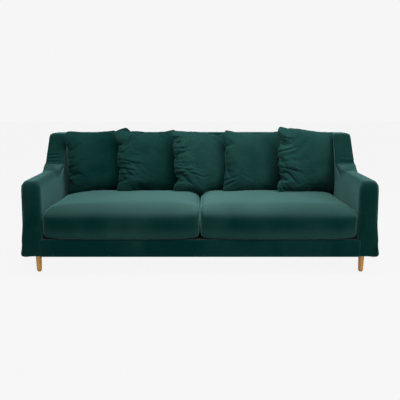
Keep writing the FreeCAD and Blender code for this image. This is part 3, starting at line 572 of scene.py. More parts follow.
def round_arm(points, sign):
    """Rounds both edges of an arm along its outline: softly along the outside and the level top, less on the wing."""
    flat = points[:, 1:]
    gaps = ((flat[:, None, :] - arm_outline[None, :, :]) ** 2).sum(axis=2)
    nearest = arm_outline[np.argmin(gaps, axis=1)]
    deep = np.sqrt(gaps.min(axis=1))
    wing = smooth_step(nearest[:, 0], FRONT_Y + 0.42, FRONT_Y + 0.60)
    over_pad = np.maximum(smooth_step(nearest[:, 1], PAD_TOP_Z - 0.02, PAD_TOP_Z + 0.03),
                          smooth_step(nearest[:, 0], 0.22, 0.30))
    above = smooth_step(flat[:, 1], BASE_Z + 0.06, BASE_Z + 0.24)
    inward = np.where(deep[:, None] > SKIN, (flat - nearest) / np.maximum(deep, 1e-6)[:, None], 0)
    band = deep <= SKIN
    inward[band] = (arm_outline.mean(axis=0) - flat[band])
    inward[band] /= np.linalg.norm(inward[band], axis=1)[:, None]
    points = points.copy()
    for edge, radius in ((ARM_OUTSIDE_X, OUTER_ROUND + (WING_OUTER_ROUND - OUTER_ROUND) * wing),
                         (ARM_INSIDE_X, TOP_ROUND + (WING_ROUND - TOP_ROUND) * over_pad)):
        outside = np.abs(np.abs(points[:, 0]) - edge)
        new_outside, new_deep = round_edge(outside, deep, radius)
        points[:, 0] += np.sign(0.5 * (ARM_OUTSIDE_X + ARM_INSIDE_X) - edge) * sign * above * (new_outside - outside)
        points[:, 1:] += (above * (new_deep - deep))[:, None] * inward
    return points


print("edges rounded from", WING_ROUND, "to", TOP_ROUND, "m")

# %% Padding of an arm
OUTER_LEAN = 0.005
SIDE_SWELL, FRONT_SWELL, WING_SWELL = 0.0045, 0.0030, 0.018
PAD_STEP = 0.012
HEM_FLARE, HEM_DROP = 0.009, 0.004


def back_rise(z):
    """Y of the wing's sloping front at a height."""
    return FRONT_Y + WING_SETBACK - (BACK_Z - z) / math.tan(WING_ANGLE)


def pad_arm(points, normals, side, sign, across, pad_line):
    """Swelling faces, creases, the pad's step on the wing, an outside that leans in, and a flared hem."""
    y, z = points[:, 1], points[:, 2]
    side_facing = np.clip(sign * normals[:, 0], 0, 1) ** 2
    front_facing = np.clip(-normals[:, 1], 0, 1) ** 2 * (y < FRONT_Y + 0.08)
    lift = SIDE_SWELL * side_facing * (bell(y, 0.0, 0.36) * bell(z, 0.36, 0.16))
    lift += FRONT_SWELL * front_facing * bell(across, 0.5, 0.35) * bell(z, 0.36, 0.2)
    lift -= crease_arm(points, normals, side, across)
    on_wing = (y > 0) * np.clip(-normals[:, 1] * 1.4, 0, 1) * smooth_step(across, 0.02, 0.2)
    below_step = smooth_step(pad_line - z, 0.0, 0.014)
    lift += PAD_STEP * on_wing * below_step * smooth_step(z, ARM_TOP_Z - 0.03, PAD_TOP_Z)
    moved = points + normals * lift[:, None]
    moved[:, 0] -= sign * OUTER_LEAN * side_facing * smooth_step(z, BASE_Z + 0.12, ARM_TOP_Z)
    inner_facing = np.clip(-sign * normals[:, 0], 0, 1)
    wing_swell = WING_SWELL * (1 + 0.4 * bell(z, PAD_TOP_Z, 0.05)) * smooth_step(z, 0.54, 0.63)
    moved[:, 0] -= sign * inner_facing * wing_swell * bell(moved[:, 1], back_rise(z), 0.05)
    flare = bell(z, BASE_Z + 0.016, 0.034) * smooth_step(across, 0.55, 1.0)
    moved[:, 0] += sign * HEM_FLARE * flare * side_facing ** 0.5
    moved[:, 2] -= HEM_DROP * bell(z, BASE_Z, 0.02) * smooth_step(across, 0.45, 0.9) * (normals[:, 2] < -0.3)
    return moved


print("wing's front at the pad's top: y", round(back_rise(PAD_TOP_Z), 3))

# %% Arms
ARM_VOXEL = 0.0085
EDGE_ROUND = 0.010
# Painted light on the inside of each arm and on its wing; the right arm, nearer the lamp on the right, gets more
INNER_PAINTED_LIGHT = {"left": 0.20, "right": 0.24}
WING_PAINTED_LIGHT = {"left": 0.03, "right": 0.05}


def arm_painted_light(points, normals, side, sign, across, pad_line):
    """Painted light on the level top, the inside and the pad on the wing; painted shade on the front and the wing."""
    y = points[:, 1]
    level = smooth_step(pad_line - points[:, 2], -0.004, 0.010)
    inner_facing = np.clip(-sign * normals[:, 0], 0, 1) * smooth_step(0.26 - y, 0.0, 0.12) * INNER_PAINTED_LIGHT[side]
    behind_front = smooth_step(y, FRONT_Y + 0.01, FRONT_Y + 0.07)
    painted_light_and_nap = level * behind_front * np.maximum(0.20 * smooth_step(normals[:, 2], 0.3, 0.9), inner_facing)
    pad_facing = smooth_step(-normals[:, 1], 0.1, 0.6) * (0.36 + 0.20 * smooth_step(0.45 - across, 0.0, 0.25))
    painted_light_and_nap = np.maximum(painted_light_and_nap, level * smooth_step(y, 0.0, 0.04) * pad_facing)
    return painted_light_and_nap + WING_PAINTED_LIGHT[side] * (1 - level)


def dress_arm(side, sign):
    """Prism, even quads, rounded edges, padding and painted light of one arm."""
    outer, inner = sign * ARM_OUTSIDE_X, sign * ARM_INSIDE_X
    arm = prism(f"{side}_arm_cover", arm_outline, min(outer, inner), max(outer, inner))
    round_ends(arm, (outer, inner), EDGE_ROUND)
    even_quads(arm, ARM_VOXEL, 2)
    write_points(arm.data, spread(arm.data, round_arm(read_points(arm.data), sign), 2))
    points, normals = read_points(arm.data), read_points(arm.data, "normal")
    across = (np.abs(points[:, 0]) - ARM_INSIDE_X) / (ARM_OUTSIDE_X - ARM_INSIDE_X)
    pad_line = PAD_TOP_Z - 0.09 * np.clip((points[:, 1] - 0.08) / 0.13, 0, 1.4) ** 2
    points = pad_arm(points, normals, side, sign, across, pad_line)
    write_points(arm.data, points)
    paint_light(arm, arm_painted_light(points, read_points(arm.data, "normal"), side, sign, across, pad_line))
    return dress(arm, "frame", f"{side}_arm_upholstery", fill=0.9)


SIDES = {"left": -1, "right": 1}
arms = {side: dress_arm(side, sign) for side, sign in SIDES.items()}

# %% [markdown]
# ## Inner back, outer back, front border and platform
# These four are long panels of one cross-section. A curve with a bevel profile could draw them, but would leave no even
# grid to swell, so each outline is swept along X in equal steps and then eased: the ends are drawn in and tucked into
# the arms' soft edges, and the broad faces swell by a few millimetres.

# %% Panel helpers
RECLINE = math.radians(13)
DECK_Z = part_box("seat_platform")[1].z
DECK_REAR_Y = 0.220
BACK_CAP = 0.022
BACK_PAD = 0.045
COVER_PAD = 0.020
HALF_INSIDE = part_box("inner_back_pad")[1].x
PAD_FOOT_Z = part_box("inner_back_pad")[0].z
CAP_Z = BACK_Z - BACK_CAP
TUCK = 0.012
END_ROUND, END_PULL = 0.03, 0.015


def back_y(z, behind=0.0):
    """Y of the reclined face at a height, or of a line behind it."""
    return DECK_REAR_Y + (z - DECK_Z) * math.tan(RECLINE) + behind / math.cos(RECLINE)


def rear_y(z):
    """Y of the outside of the back at a height."""
    return REAR_FOOT_Y + (REAR_TOP_Y - REAR_FOOT_Y) * (z - BASE_Z) / (BACK_Z - BASE_Z)


def swept(name, outline, half_width, step):
    """An outline carried along X in even steps, drawn in a little towards both ends."""
    count = len(outline)
    steps = int(round(2 * half_width / step))
    centre = outline.mean(axis=0)
    verts = []
    for k in range(steps + 1):
        x = -half_width + 2 * half_width * k / steps
        near_end = max(0.0, 1 - (half_width - abs(x)) / END_ROUND)
        pull = 1 - END_PULL * near_end ** 3
        verts += [(x, *(centre + (p - centre) * pull)) for p in outline]
    faces = [(k * count + i, k * count + (i + 1) % count, (k + 1) * count + (i + 1) % count, (k + 1) * count + i)
             for k in range(steps) for i in range(count)]
    faces += [tuple(range(count - 1, -1, -1)), tuple(range(steps * count, (steps + 1) * count))]
    return outward(mesh_object(name, verts, faces))


def swell(obj, facing, height, middle_z, half_z):
    """Moves the face that looks along an axis outwards by up to a height, most at mid height."""
    points, normals = read_points(obj.data), read_points(obj.data, "normal")
    share = np.clip(normals @ np.array(facing), 0, 1) ** 2 * bell(points[:, 2], middle_z, half_z)
    share *= smooth_step(HALF_INSIDE - np.abs(points[:, 0]), 0.0, 0.12)
    ripple = 1 + 0.25 * np.sin(points[:, 0] * 5.3 + 0.7) * np.sin(points[:, 2] * 9.1)
    write_points(obj.data, points + normals * (height * share * ripple)[:, None])


print("inside of the arms:", round(2 * HALF_INSIDE, 3), "m apart")

# %% Long panels
CAP_GAP = 0.0003

inner_back = swept("inner_back_cover", rounded([
    (back_y(PAD_FOOT_Z), PAD_FOOT_Z, 0.004), (back_y(BACK_Z), BACK_Z, 0.030), (rear_y(BACK_Z), BACK_Z, 0.014),
    (rear_y(CAP_Z), CAP_Z, 0.003), (back_y(CAP_Z, BACK_PAD), CAP_Z, 0.0),
    (back_y(PAD_FOOT_Z, BACK_PAD), PAD_FOOT_Z, 0.004)], 0.012), HALF_INSIDE + TUCK, 0.022)
dress(inner_back, "frame", "inner_back_pad", fill=0.8, levels=0)

outer_back = swept("outer_back_cover", rounded([
    (rear_y(BASE_Z) - COVER_PAD, BASE_Z, 0.004), (rear_y(CAP_Z) - COVER_PAD, CAP_Z - CAP_GAP, 0.004),
    (rear_y(CAP_Z), CAP_Z - CAP_GAP, 0.006), (rear_y(BASE_Z), BASE_Z, 0.008)], 0.012), HALF_INSIDE + TUCK, 0.022)
swell(outer_back, (0, 1, 0), 0.006, 0.46, 0.26)
dress(outer_back, "frame", "outer_back_pad", fill=0.8, levels=0)

border = swept("front_border_cover", rounded([
    (FRONT_Y, BASE_Z, 0.006), (FRONT_Y, DECK_Z, 0.014), (FRONT_Y + COVER_PAD, DECK_Z, 0.003),
    (FRONT_Y + COVER_PAD, BASE_Z, 0.003)], 0.005), HALF_INSIDE + TUCK, 0.02)
swell(border, (0, -1, 0), 0.0035, 0.165, 0.04)
dress(border, "frame", "front_border", fill=0.8, levels=0)

DECK_LOW, DECK_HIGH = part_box("seat_platform")
platform = swept("platform_cover", rounded([
    (DECK_LOW.y, DECK_LOW.z, 0.003), (DECK_LOW.y, DECK_HIGH.z, 0.004), (DECK_HIGH.y, DECK_HIGH.z, 0.004),
    (DECK_HIGH.y, DECK_LOW.z, 0.003)], 0.02), HALF_INSIDE, 0.03)
dress(platform, "frame", "seat_platform", slot="platform_felt", fill=0.4, levels=0, material=felt)

# %% [markdown]
# ## Seat cushions
# A seat cushion is a foam block wrapped in fibre inside a boxed velvet cover. It has no piping, its edges are round and
# its top is crowned. A subdivided cube would look like a bar of soap. Instead, a rounded block with an even grid is
# blown up by a short cloth simulation, with a cap on how far any point may move, so that the broad faces swell and the
# edges and corners hold them. The front rolls over like the bow of a boat. The right cushion is the left one's mirror
# image, with an unevenness of its own.

# %% Rounded block
SEAT_CELLS = (66, 50, 20)
# Two faces that meet, and the radius of the edge between them: wide at the top front, tight where the two seats meet
SEAT_EDGES = [("front", "outer", 0.034), ("front", "inner", 0.016), ("rear", "outer", 0.040), ("rear", "inner", 0.040),
              ("outer", "top", 0.045), ("inner", "top", 0.022), ("front", "top", 0.095), ("rear", "top", 0.050),
              ("front", "under", 0.030), ("outer", "under", 0.020), ("inner", "under", 0.014)]


def box_grid(name, low, high, cells):
    """A box with an even grid on its six sides."""
    shape = bmesh.new()
    bmesh.ops.create_cube(shape, size=2)
    for axis, cuts in enumerate(cells):
        along = [e for e in shape.edges if abs(abs(e.verts[0].co[axis] - e.verts[1].co[axis]) - 2) < 1e-6]
        bmesh.ops.subdivide_edges(shape, edges=along, cuts=cuts, use_grid_fill=True)
    for v in shape.verts:
        v.co = (low + high) / 2 + np.array(v.co) * (high - low) / 2
    mesh = bpy.data.meshes.new(name)
    shape.to_mesh(mesh)
    shape.free()
    return outward(new_object(name, mesh))


def round_seat(points, low, high):
    """Rounds the edges of the left seat's box."""
    start = dict(zip(("outer", "front", "under", "inner", "rear", "top"), (*(points - low).T, *(high - points).T)))
    depth = dict(start)
    for first, second, radius in SEAT_EDGES:
        depth[first], depth[second] = round_edge(depth[first], depth[second], radius)
    shift = {face: depth[face] - start[face] for face in depth}
    return points + np.stack([shift["outer"] - shift["inner"], shift["front"] - shift["rear"],
                              shift["under"] - shift["top"]], axis=1)


print("edges of a seat to round:", len(SEAT_EDGES))

# %% Cloth simulation
CLOTH_TENSION = 10.0
CLOTH_DAMPING = 5


def inflate(obj, pressure, frames, bending, seam=None, seam_shrink=0.0):
    """Runs a short cloth simulation with inner pressure and keeps its result as plain mesh."""
    cloth = obj.modifiers.new("cloth", "CLOTH")
    setting = cloth.settings
    setting.quality = 5
    setting.mass = 0.3
    setting.tension_stiffness = setting.compression_stiffness = CLOTH_TENSION
    setting.shear_stiffness = CLOTH_TENSION / 2
    setting.bending_stiffness = bending
    setting.tension_damping = setting.compression_damping = setting.shear_damping = CLOTH_DAMPING
    setting.air_damping = 4
    setting.use_pressure = True
    setting.uniform_pressure_force = pressure
    setting.effector_weights.gravity = 0
    if seam:
        setting.vertex_group_shrink = seam
        setting.shrink_min, setting.shrink_max = 0.0, seam_shrink
    cloth.collision_settings.use_collision = False
    cloth.point_cache.frame_start, cloth.point_cache.frame_end = 1, frames
    for step in range(1, frames + 1):
        scene.frame_set(step)
    baked(obj)
    scene.frame_set(1)
    return obj


print("cloth tension:", CLOTH_TENSION)

# %% Left seat, blown up
SEAT_CAP = 0.009
SEAT_PRESSURE, SEAT_FRAMES, SEAT_BENDING = 2.5, 12, 4.0
SIDEWAYS_SHARE = 0.25


def seat_block():
    """Rounded block that a short simulation swells; the swelling is capped and spread, so no edge is pinched."""
    low, high = (np.array(v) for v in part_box("left_seat_cover"))
    block = box_grid("left_seat_cushion", low, high, SEAT_CELLS)
    before = round_seat(read_points(block.data), low, high)
    write_points(block.data, before)
    inflate(block, SEAT_PRESSURE, SEAT_FRAMES, SEAT_BENDING)
    moved = read_points(block.data) - before
    length = np.linalg.norm(moved, axis=1)
    moved *= (np.minimum(length, SEAT_CAP) / np.maximum(length, 1e-9))[:, None]
    moved[:, :2] *= SIDEWAYS_SHARE
    write_points(block.data, before + spread(block.data, moved, 20))
    write_points(block.data, spread(block.data, read_points(block.data), 8))
    return block


left_seat = seat_block()
print("seat block:", len(left_seat.data.polygons), "faces")

# %% Seat cushions
BELLY = 0.022
OUTER_FALL, INNER_FALL, NOTCH, FRONT_FALL = 0.024, 0.010, 0.016, 0.010
DECK_GAP = 0.0006


def crown_seat(points, low, high, seed, inner_sign):
    """Crowned top, a lower front edge that bellies out and hangs a little, and a gentle unevenness."""
    share = np.clip((points - low) / (high - low), 0, 1)
    u, v, h = inner_sign * (2 * share[:, 0] - 1), 2 * share[:, 1] - 1, share[:, 2]
    points = points.copy()
    top = smooth_step(h, 0.4, 1.0)
    outer_side, inner_side = np.clip(-u, 0, 1) ** 3, np.clip(u, 0, 1) ** 5
    notch = np.clip((u - 0.80) / 0.20, 0, 1) ** 2 * smooth_step(v, 0.0, 0.6)
    points[:, 2] -= top * (OUTER_FALL * outer_side + INNER_FALL * inner_side + NOTCH * notch)
    points[:, 2] -= FRONT_FALL * top * np.clip(-v, 0, 1) ** 2
    front = smooth_step(-v, 0.72, 1.0)
    middle = 1 - np.abs(u) ** 6
    points[:, 1] -= BELLY * front * middle * bell(h, 0.22, 0.34)
    points[:, 2] -= (0.006 + 0.014 * (1 - u ** 2)) * front * smooth_step(1 - h, 0.60, 1.0)
    wave = np.sin(points[:, 0] * 7.1 + seed) * np.sin(points[:, 1] * 9.3 + 2 * seed)
    points[:, 2] += 0.0022 * top * wave
    points[:, 1] += 0.0020 * front * np.sin(points[:, 0] * 13 + 3 * seed) * middle
    return points


def rest_on_deck(points):
    """Keeps a seat cushion above the platform, except where its belly hangs in front of the border."""
    clear = points[:, 1] > FRONT_Y - 0.002
    points[clear, 2] = np.maximum(points[clear, 2], DECK_Z + DECK_GAP)
    return points


def fit_box(points, low, high):
    """Stretches points to fill a box."""
    now_low, now_high = points.min(axis=0), points.max(axis=0)
    return low + (points - now_low) / (now_high - now_low) * (high - low)


def finish_seat(obj, side, seed, inner_sign):
    """Fits a seat to its CAD box, crowns it, sets it on the platform and paints light and shade on its pile."""
    low, high = (np.array(v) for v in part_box(f"{side}_seat_cover"))
    points = crown_seat(fit_box(read_points(obj.data), low, high), low, high, seed, inner_sign)
    write_points(obj.data, rest_on_deck(points))
    normals = read_points(obj.data, "normal")
    share = (points - low) / (high - low)
    from_arm = share[:, 0] if inner_sign > 0 else 1 - share[:, 0]
    # Painted light on up-facing faces, more towards the sofa's middle, and on the lower front and the front corners
    painted_light_and_nap = smooth_step(normals[:, 2], 0.24, 1.0) * (0.44 + 0.34 * from_arm)
    low_front = smooth_step(0.42 - share[:, 2], 0.0, 0.36) * np.clip(-normals[:, 1], 0, 1)
    paint_light(obj, painted_light_and_nap + 0.18 * low_front + 0.12 * np.abs(normals[:, 0]) * (share[:, 1] < 0.1))
    return dress(obj, f"{side}_seat_cushion", f"{side}_seat_cover", f"{side}_seat_core", fill=0.85)


right_mesh = left_seat.data.copy()
mirrored = read_points(right_mesh)
mirrored[:, 0] *= -1
write_points(right_mesh, mirrored)
right_mesh.flip_normals()
right_seat = new_object("right_seat_cushion", right_mesh)
seats = [finish_seat(left_seat, "left", 0.4, 1), finish_seat(right_seat, "right", 2.1, -1)]

# %% [markdown]
# ## Scatter cushions
# A scatter cushion is two square cloths sewn together round the edge and stuffed. A pillow shape can be drawn by a
# formula, but then it has no puckers. Cut flat and blown up by a cloth simulation, two squares do what real ones do:
# the sides pull in between the corners, and cloth that is too wide for the shorter seam gathers. The seams of some
# cushions are drawn tighter on the left, as in the photograph.

# %% Cushion cases
CASE_SIZE = 0.50
CASE_CELLS = 72
TIP_CUT = 0.028
CLOTH_GAP, CLOTH_ROUGH = 0.004, 0.0015
# Roll in its own plane in degrees; pressure; bending stiffness; how far the seams at the left, right, bottom and top
# shrink; how far the top left tip, the top right tip and the left, right and top sides move in millimetres; how far the
# right side comes forward in millimetres; and how much painted light the cushion's pile gets
Cushion = namedtuple("Cushion", "roll pressure bending seams top_left top_right sides forward lightness")
CUSHIONS = [
    Cushion(7.5, 3.0, 0.25, (0.07, 0.03, 0.03, 0.03), (26, -14), (20, -16), (-14, 0, 6), 0, 0.055),
    Cushion(4.0, 3.2, 0.14, (0.09, 0.03, 0.04, 0.05), (0, -14), (0, -14), (0, 0, 6), 0, 0.11),
    Cushion(3.5, 3.2, 0.10, (0.10, 0.04, 0.05, 0.06), (0, -10), (0, -20), (0, 0, 2), 0, 0.22),
    Cushion(1.0, 3.0, 0.22, (0.05, 0.03, 0.05, 0.03), (0, -16), (0, 0), (0, 0, 0), 0, 0.18),
    Cushion(-0.5, 3.2, 0.10, (0.11, 0.04, 0.04, 0.05), (4, 11), (0, -2), (0, 44, 12), 40, 0.20)]


def flat_case(name, seed, shrinks):
    """Two square cloths that share their edge, cut longer along a side whose seam will be drawn in."""
    random = np.random.default_rng(seed)
    left, right, bottom, top = shrinks
    half, cells = CASE_SIZE / 2, CASE_CELLS
    lin = np.linspace(-1, 1, cells + 1)
    verts, index = [], {}
    for side in (1, -1):
        for j in range(cells + 1):
            for i in range(cells + 1):
                edge = i in (0, cells) or j in (0, cells)
                key = (i, j, 0 if edge else side)
                if key in index:
                    continue
                u, v = lin[i], lin[j]
                tip = TIP_CUT * abs(u * v) ** 12
                index[key] = len(verts)
                lift = 0 if edge else side * CLOTH_GAP + random.uniform(-CLOTH_ROUGH, CLOTH_ROUGH)
                wide = half * (1 + (bottom * (1 - v) + top * (1 + v)) / 2)
                long = half * (1 + (left * (1 - u) + right * (1 + u)) / 2)
                verts.append((u * wide - math.copysign(tip, u), v * long - math.copysign(tip, v), lift))

    def at(i, j, side):
        return index[(i, j, 0 if i in (0, cells) or j in (0, cells) else side)]

    faces = []
    for side in (1, -1):
        for j in range(cells):
            for i in range(cells):
                quad = [at(i, j, side), at(i + 1, j, side), at(i + 1, j + 1, side), at(i, j + 1, side)]
                faces.append(quad[::side])
    return mesh_object(name, verts, faces), index


flat_cases = [flat_case(f"scatter_cushion_{number}", 40 + number, spec.seams)
              for number, spec in enumerate(CUSHIONS, start=1)]
print("cases cut:", len(flat_cases))

# %% Sewing and stuffing
SEAM_ROWS = 4
CASE_FRAMES = 36


def draw_seams(obj, index, shrinks):
    """A weight group that says how far the seam on each side is drawn in; returns the largest shrink."""
    largest = max(shrinks)
    group = obj.vertex_groups.new(name="seam")
    for (i, j, _), vertex in index.items():
        near = [max(0.0, 1 - d / SEAM_ROWS) for d in (i, CASE_CELLS - i, j, CASE_CELLS - j)]
        weight = max(n * s / largest for n, s in zip(near, shrinks))
        if weight > 0:
            group.add([vertex], weight, "REPLACE")
    return largest


def stuffed_case(case, index, spec):
    largest = draw_seams(case, index, spec.seams)
    inflate(case, spec.pressure, CASE_FRAMES, spec.bending, "seam", largest)
    case.vertex_groups.clear()
    return case


cases = [stuffed_case(*cut, spec) for cut, spec in zip(flat_cases, CUSHIONS)]
for case in cases:
    print(case.name, "stuffed size", np.round(np.ptp(read_points(case.data), axis=0), 3))

# %% [markdown]
# ## Folds in the scatter cushions
# The photograph shows where each cushion's cloth has bunched: short puckers along the left seams of the first three and
# the last, a fan of slanting creases on the second, and two deep folds on the last. A simulation makes folds too, but
# not in these places, so they are drawn here as lines on the cushion's face. Each line presses a valley into the cloth,
# raises a soft ridge on both sides of it, and nips the seam.

# %% Fold lines
BEND = 0.35
SEAM_REACH = 0.022
NIP = 0.9
# Start across and up as shares of the half size, slant in degrees, length, depth and half width in millimetres
FOLDS = [
    [(-1.0, 0.42, -8, 60, 4.0, 8), (-1.0, 0.12, 4, 75, 4.5, 8), (-1.0, -0.16, 10, 85, 5.0, 9),
     (-1.0, -0.44, 14, 75, 4.5, 9), (-0.60, 0.02, 2, 70, 2.0, 6)],
    [(-1.0, 0.55, -14, 70, 4.0, 8), (-1.0, 0.30, -18, 70, 4.5, 8), (-1.0, 0.06, -20, 75, 5.0, 8),
     (-0.72, -0.02, -20, 120, 4.5, 7), (-0.95, -0.22, -16, 150, 5.5, 7), (-1.0, -0.40, -12, 120, 5.0, 7),
     (-1.0, -0.66, 22, 80, 5.0, 8), (-0.5, 0.16, -10, 70, 2.5, 6), (0.30, 1.0, -62, 110, 4.5, 8),
     (0.55, 1.0, -66, 90, 3.5, 7)],
    [(-1.0, 0.74, 0, 80, 5.5, 7), (-1.0, 0.58, -2, 90, 5.5, 7), (-1.0, 0.40, -4, 110, 5.0, 7),
     (-1.0, 0.20, 10, 140, 6.0, 7), (-1.0, -0.04, -8, 100, 5.0, 7), (-0.95, -0.24, -12, 150, 6.0, 7),
     (-1.0, -0.42, 10, 130, 6.5, 8), (-0.55, -0.40, -10, 160, 5.0, 7), (-1.0, -0.66, 6, 90, 5.0, 8),
     (-0.35, 1.0, -58, 90, 4.0, 8), (-0.05, 1.0, -64, 80, 3.5, 7)],
    [(-1.0, 0.50, -10, 55, 3.5, 8), (-1.0, -0.60, 18, 110, 5.0, 8), (-1.0, -0.76, 28, 90, 5.0, 8),
     (-1.0, 0.05, 8, 50, 2.5, 8), (-0.55, -0.42, -24, 90, 2.0, 8)],
    [(-1.0, 0.70, -6, 110, 6.5, 8), (-1.0, 0.50, 0, 90, 6.0, 8), (-1.0, 0.26, 14, 165, 8.0, 8),
     (-1.0, -0.02, -6, 70, 5.0, 8), (-0.90, -0.22, -18, 170, 8.0, 8), (-1.0, -0.40, 8, 80, 6.0, 8),
     (-1.0, -0.62, 4, 80, 6.0, 8), (-0.35, 1.0, -70, 70, 3.0, 8), (-0.15, 1.0, -74, 60, 2.5, 8)],
]


def fold_cloth(points, half, folds):
    """Presses fold lines into the front of a cushion that lies flat at the origin."""
    x, y, front = points[:, 0], points[:, 1], smooth_step(points[:, 2], 0.0, 0.012)
    lift, nip = np.zeros(len(points)), np.zeros((len(points), 2))
    for across, up, slant, length, depth, width in folds:
        angle = math.radians(slant)
        direction = np.array((math.cos(angle), math.sin(angle)))
        along = (x - across * half[0]) * direction[0] + (y - up * half[1]) * direction[1]
        aside = (y - up * half[1]) * direction[0] - (x - across * half[0]) * direction[1]
        aside = aside - BEND * along ** 2
        long, deep = length / 1000, depth / 1000
        wide = width / 1000 * (0.75 + 0.5 * np.clip(along / long, 0, 1))
        fade = smooth_step(along, -0.03, 0.012) * (1 - smooth_step(along, 0.35 * long, long))
        valley = bell(aside, 0, wide)
        ridges = bell(aside, 2.0 * wide, 1.3 * wide) + bell(aside, -2.0 * wide, 1.3 * wide)
        lift += deep * fade * (0.5 * ridges - valley)
        at_seam = bell(along, 0, SEAM_REACH) * valley * depth / 1000
        nip += NIP * at_seam[:, None] * direction
    points = points.copy()
    points[:, 2] += lift * front
    points[:, :2] += nip
    return points


print("folds:", sum(len(folds) for folds in FOLDS))

# %% [markdown]
# ## Setting the scatter cushions down
# The cushions lean on the back and overlap each other to the right. They could be dropped in one large simulation, but
# then they would not end where the photograph has them. So each case takes the place, turn and size of its CAD solid,
# its tips and sides go where the photograph shows them, the filling sinks a little towards the foot, and the cloth
# gives way where it meets the seat, the back, the arms and its neighbours.

# %% Place of each cushion
LEAN = np.array(Matrix.Rotation(math.pi / 2 - RECLINE, 3, "X"))
UP, AWAY = LEAN[:, 1], LEAN[:, 2]


def cad_place(number, roll):
    """Axes, centre and half sizes of a cushion, found by turning its CAD points until they are thinnest."""
    points = read_points(frame["nodes"][f"back_cushion_{number}_cover"].data)
    in_plane = Matrix.Rotation(math.radians(roll), 3, "Z")

    def axes(turn):
        return LEAN @ np.array(Matrix.Rotation(math.radians(turn), 3, "Y") @ in_plane)

    turn = min(np.arange(8, 32, 0.25), key=lambda t: np.ptp(points @ axes(t)[:, 2]))
    local = points @ axes(turn)
    low, high = local.min(axis=0), local.max(axis=0)
    return axes(turn), axes(turn) @ ((low + high) / 2), (high - low) / 2


places = [cad_place(number, spec.roll) for number, spec in enumerate(CUSHIONS, start=1)]
for case, (axes, _, _) in zip(cases, places):
    print(f"{case.name}: turned {math.degrees(math.asin(axes[0, 2])):.1f} degrees")

# %% Fit of a case
SIDE_DRAW = 0.001
TIP_DRAW = 0.008


def case_grid():
    """Where each point of a case lies on its square, from -1 to 1 both ways."""
    lin = np.linspace(-1, 1, CASE_CELLS + 1)
    inner = lin[1:-1]
    front = [(u, v) for v in lin for u in lin]
    rear = [(u, v) for v in inner for u in inner]
    return np.array(front + rear).T


def fit_case(points, half, spec):
    """Stretches a stuffed case so that its four tips and the middles of its sides come where they should."""
    u, v = case_grid()
    pull = {(-1, 1): spec.top_left, (1, 1): spec.top_right}
    points = points - points.mean(axis=0)
    points[:, 2] *= 2 * half[2] / np.ptp(points[:, 2])
    fitted = points.copy()
    for a in (-1, 1):
        for b in (-1, 1):
            tip = points[np.argmin((u - a) ** 2 + (v - b) ** 2)]
            weight = (1 + a * u) * (1 + b * v) / 4
            target = np.array((a * (half[0] - TIP_DRAW), b * (half[1] - TIP_DRAW), 0))
            target[:2] += np.array(pull.get((a, b), (0, 0))) / 1000
            fitted += weight[:, None] * (target - tip)
    for axis, along, across in ((0, u, v), (1, v, u)):
        for sign in (-1, 1):
            side = (np.abs(along - sign) < 1e-6) & (np.abs(across) < 0.5)
            tips = fitted[(np.abs(along - sign) < 1e-6) & (np.abs(across) > 0.999), axis]
            short = tips.mean() - sign * SIDE_DRAW - fitted[side, axis].mean()
            fitted[:, axis] += short * ((1 + sign * along) / 2) ** 1.5 * (1 - np.abs(across) ** 5)
    left, right, top = np.array(spec.sides) / 1000
    fitted[:, 0] += left * ((1 - u) / 2) ** 2 + right * ((1 + u) / 2) ** 2
    fitted[:, 1] += top * ((1 + v) / 2) ** 2 * (1 - np.abs(u) ** 4)
    fitted[:, 2] += spec.forward / 1000 * ((1 + u) / 2) ** 2
    return fitted


print("points of a case:", case_grid().shape[1])

# %% Down on the seat
SINK = 0.006
FOOT_DROP = 0.035
SAG = 0.13
ABOVE = 1.5
DOWN = Vector((0, 0, -1))


def surface(obj):
    """An object's faces, sorted so that a ray finds them quickly."""
    return BVHTree.FromPolygons(read_points(obj.data).tolist(), [tuple(p.vertices) for p in obj.data.polygons])


def heights_under(x, y, trees):
    """Heights at which a plumb line meets the surfaces."""
    hits = [tree.ray_cast(Vector((x, y, ABOVE)), DOWN)[0] for tree in trees]
    return [hit.z for hit in hits if hit is not None]


def lower_foot(local, axes, centre, half, trees):
    """Lets the foot of a tilted cushion down on to the seat along its whole width."""
    foot = np.linspace(-0.95, 0.95, 15) * half[0]
    gaps = []
    for x in foot:
        near = np.abs(local[:, 0] - x) < 0.02
        lowest = (local[near] @ axes.T + centre)[:, 2].min()
        spot = axes @ np.array((x, -half[1], 0)) + centre
        ground = max(heights_under(spot[0], spot[1], trees), default=lowest)
        gaps.append(np.clip(lowest - ground, 0, FOOT_DROP))
    drop = np.interp(local[:, 0], foot, gaps)
    local = local.copy()
    local[:, 1] -= drop * np.clip(0.5 - local[:, 1] / (2 * half[1]), 0, 1) ** 1.3
    return local


def settle(case, place, spec, folds, trees):
    """Fits a case to its CAD size, folds its cloth, lets the filling sink, and puts it in its place."""
    axes, centre, half = place
    write_points(case.data, fit_case(read_points(case.data), half, spec))
    fine = case.modifiers.new("fine", "SUBSURF")
    fine.levels = fine.render_levels = 1
    smooth = read_points(baked(case).data)
    points = fold_cloth(smooth, half, folds)
    raised = points[:, 2] - smooth[:, 2]
    points[:, 2] *= 1 - SAG * points[:, 1] / half[1]
    across, up = points[:, 0] / half[0], points[:, 1] / half[1]
    # Painted light: each cushion's own share, more at the top, the left and fold ridges; painted shade in fold valleys
    paint_light(case, spec.lightness + 0.03 * up - 0.05 * across + 16 * raised)
    points = lower_foot(points, axes, centre, half, trees)
    write_points(case.data, points @ axes.T + centre - SINK * UP)


seat_trees = [surface(seat) for seat in seats]
for item in zip(cases, places, CUSHIONS, FOLDS):
    settle(*item, seat_trees)
print("cushions reach up to", round(max(read_points(case.data)[:, 2].max() for case in cases), 3), "m")

# %% Clear of each other
REACH = 0.6
TOUCH, PART = 0.0012, 0.0008
CLEAR = 0.0015
SEAT_TOP_Z = 0.47
ARM_NEAR = 0.03


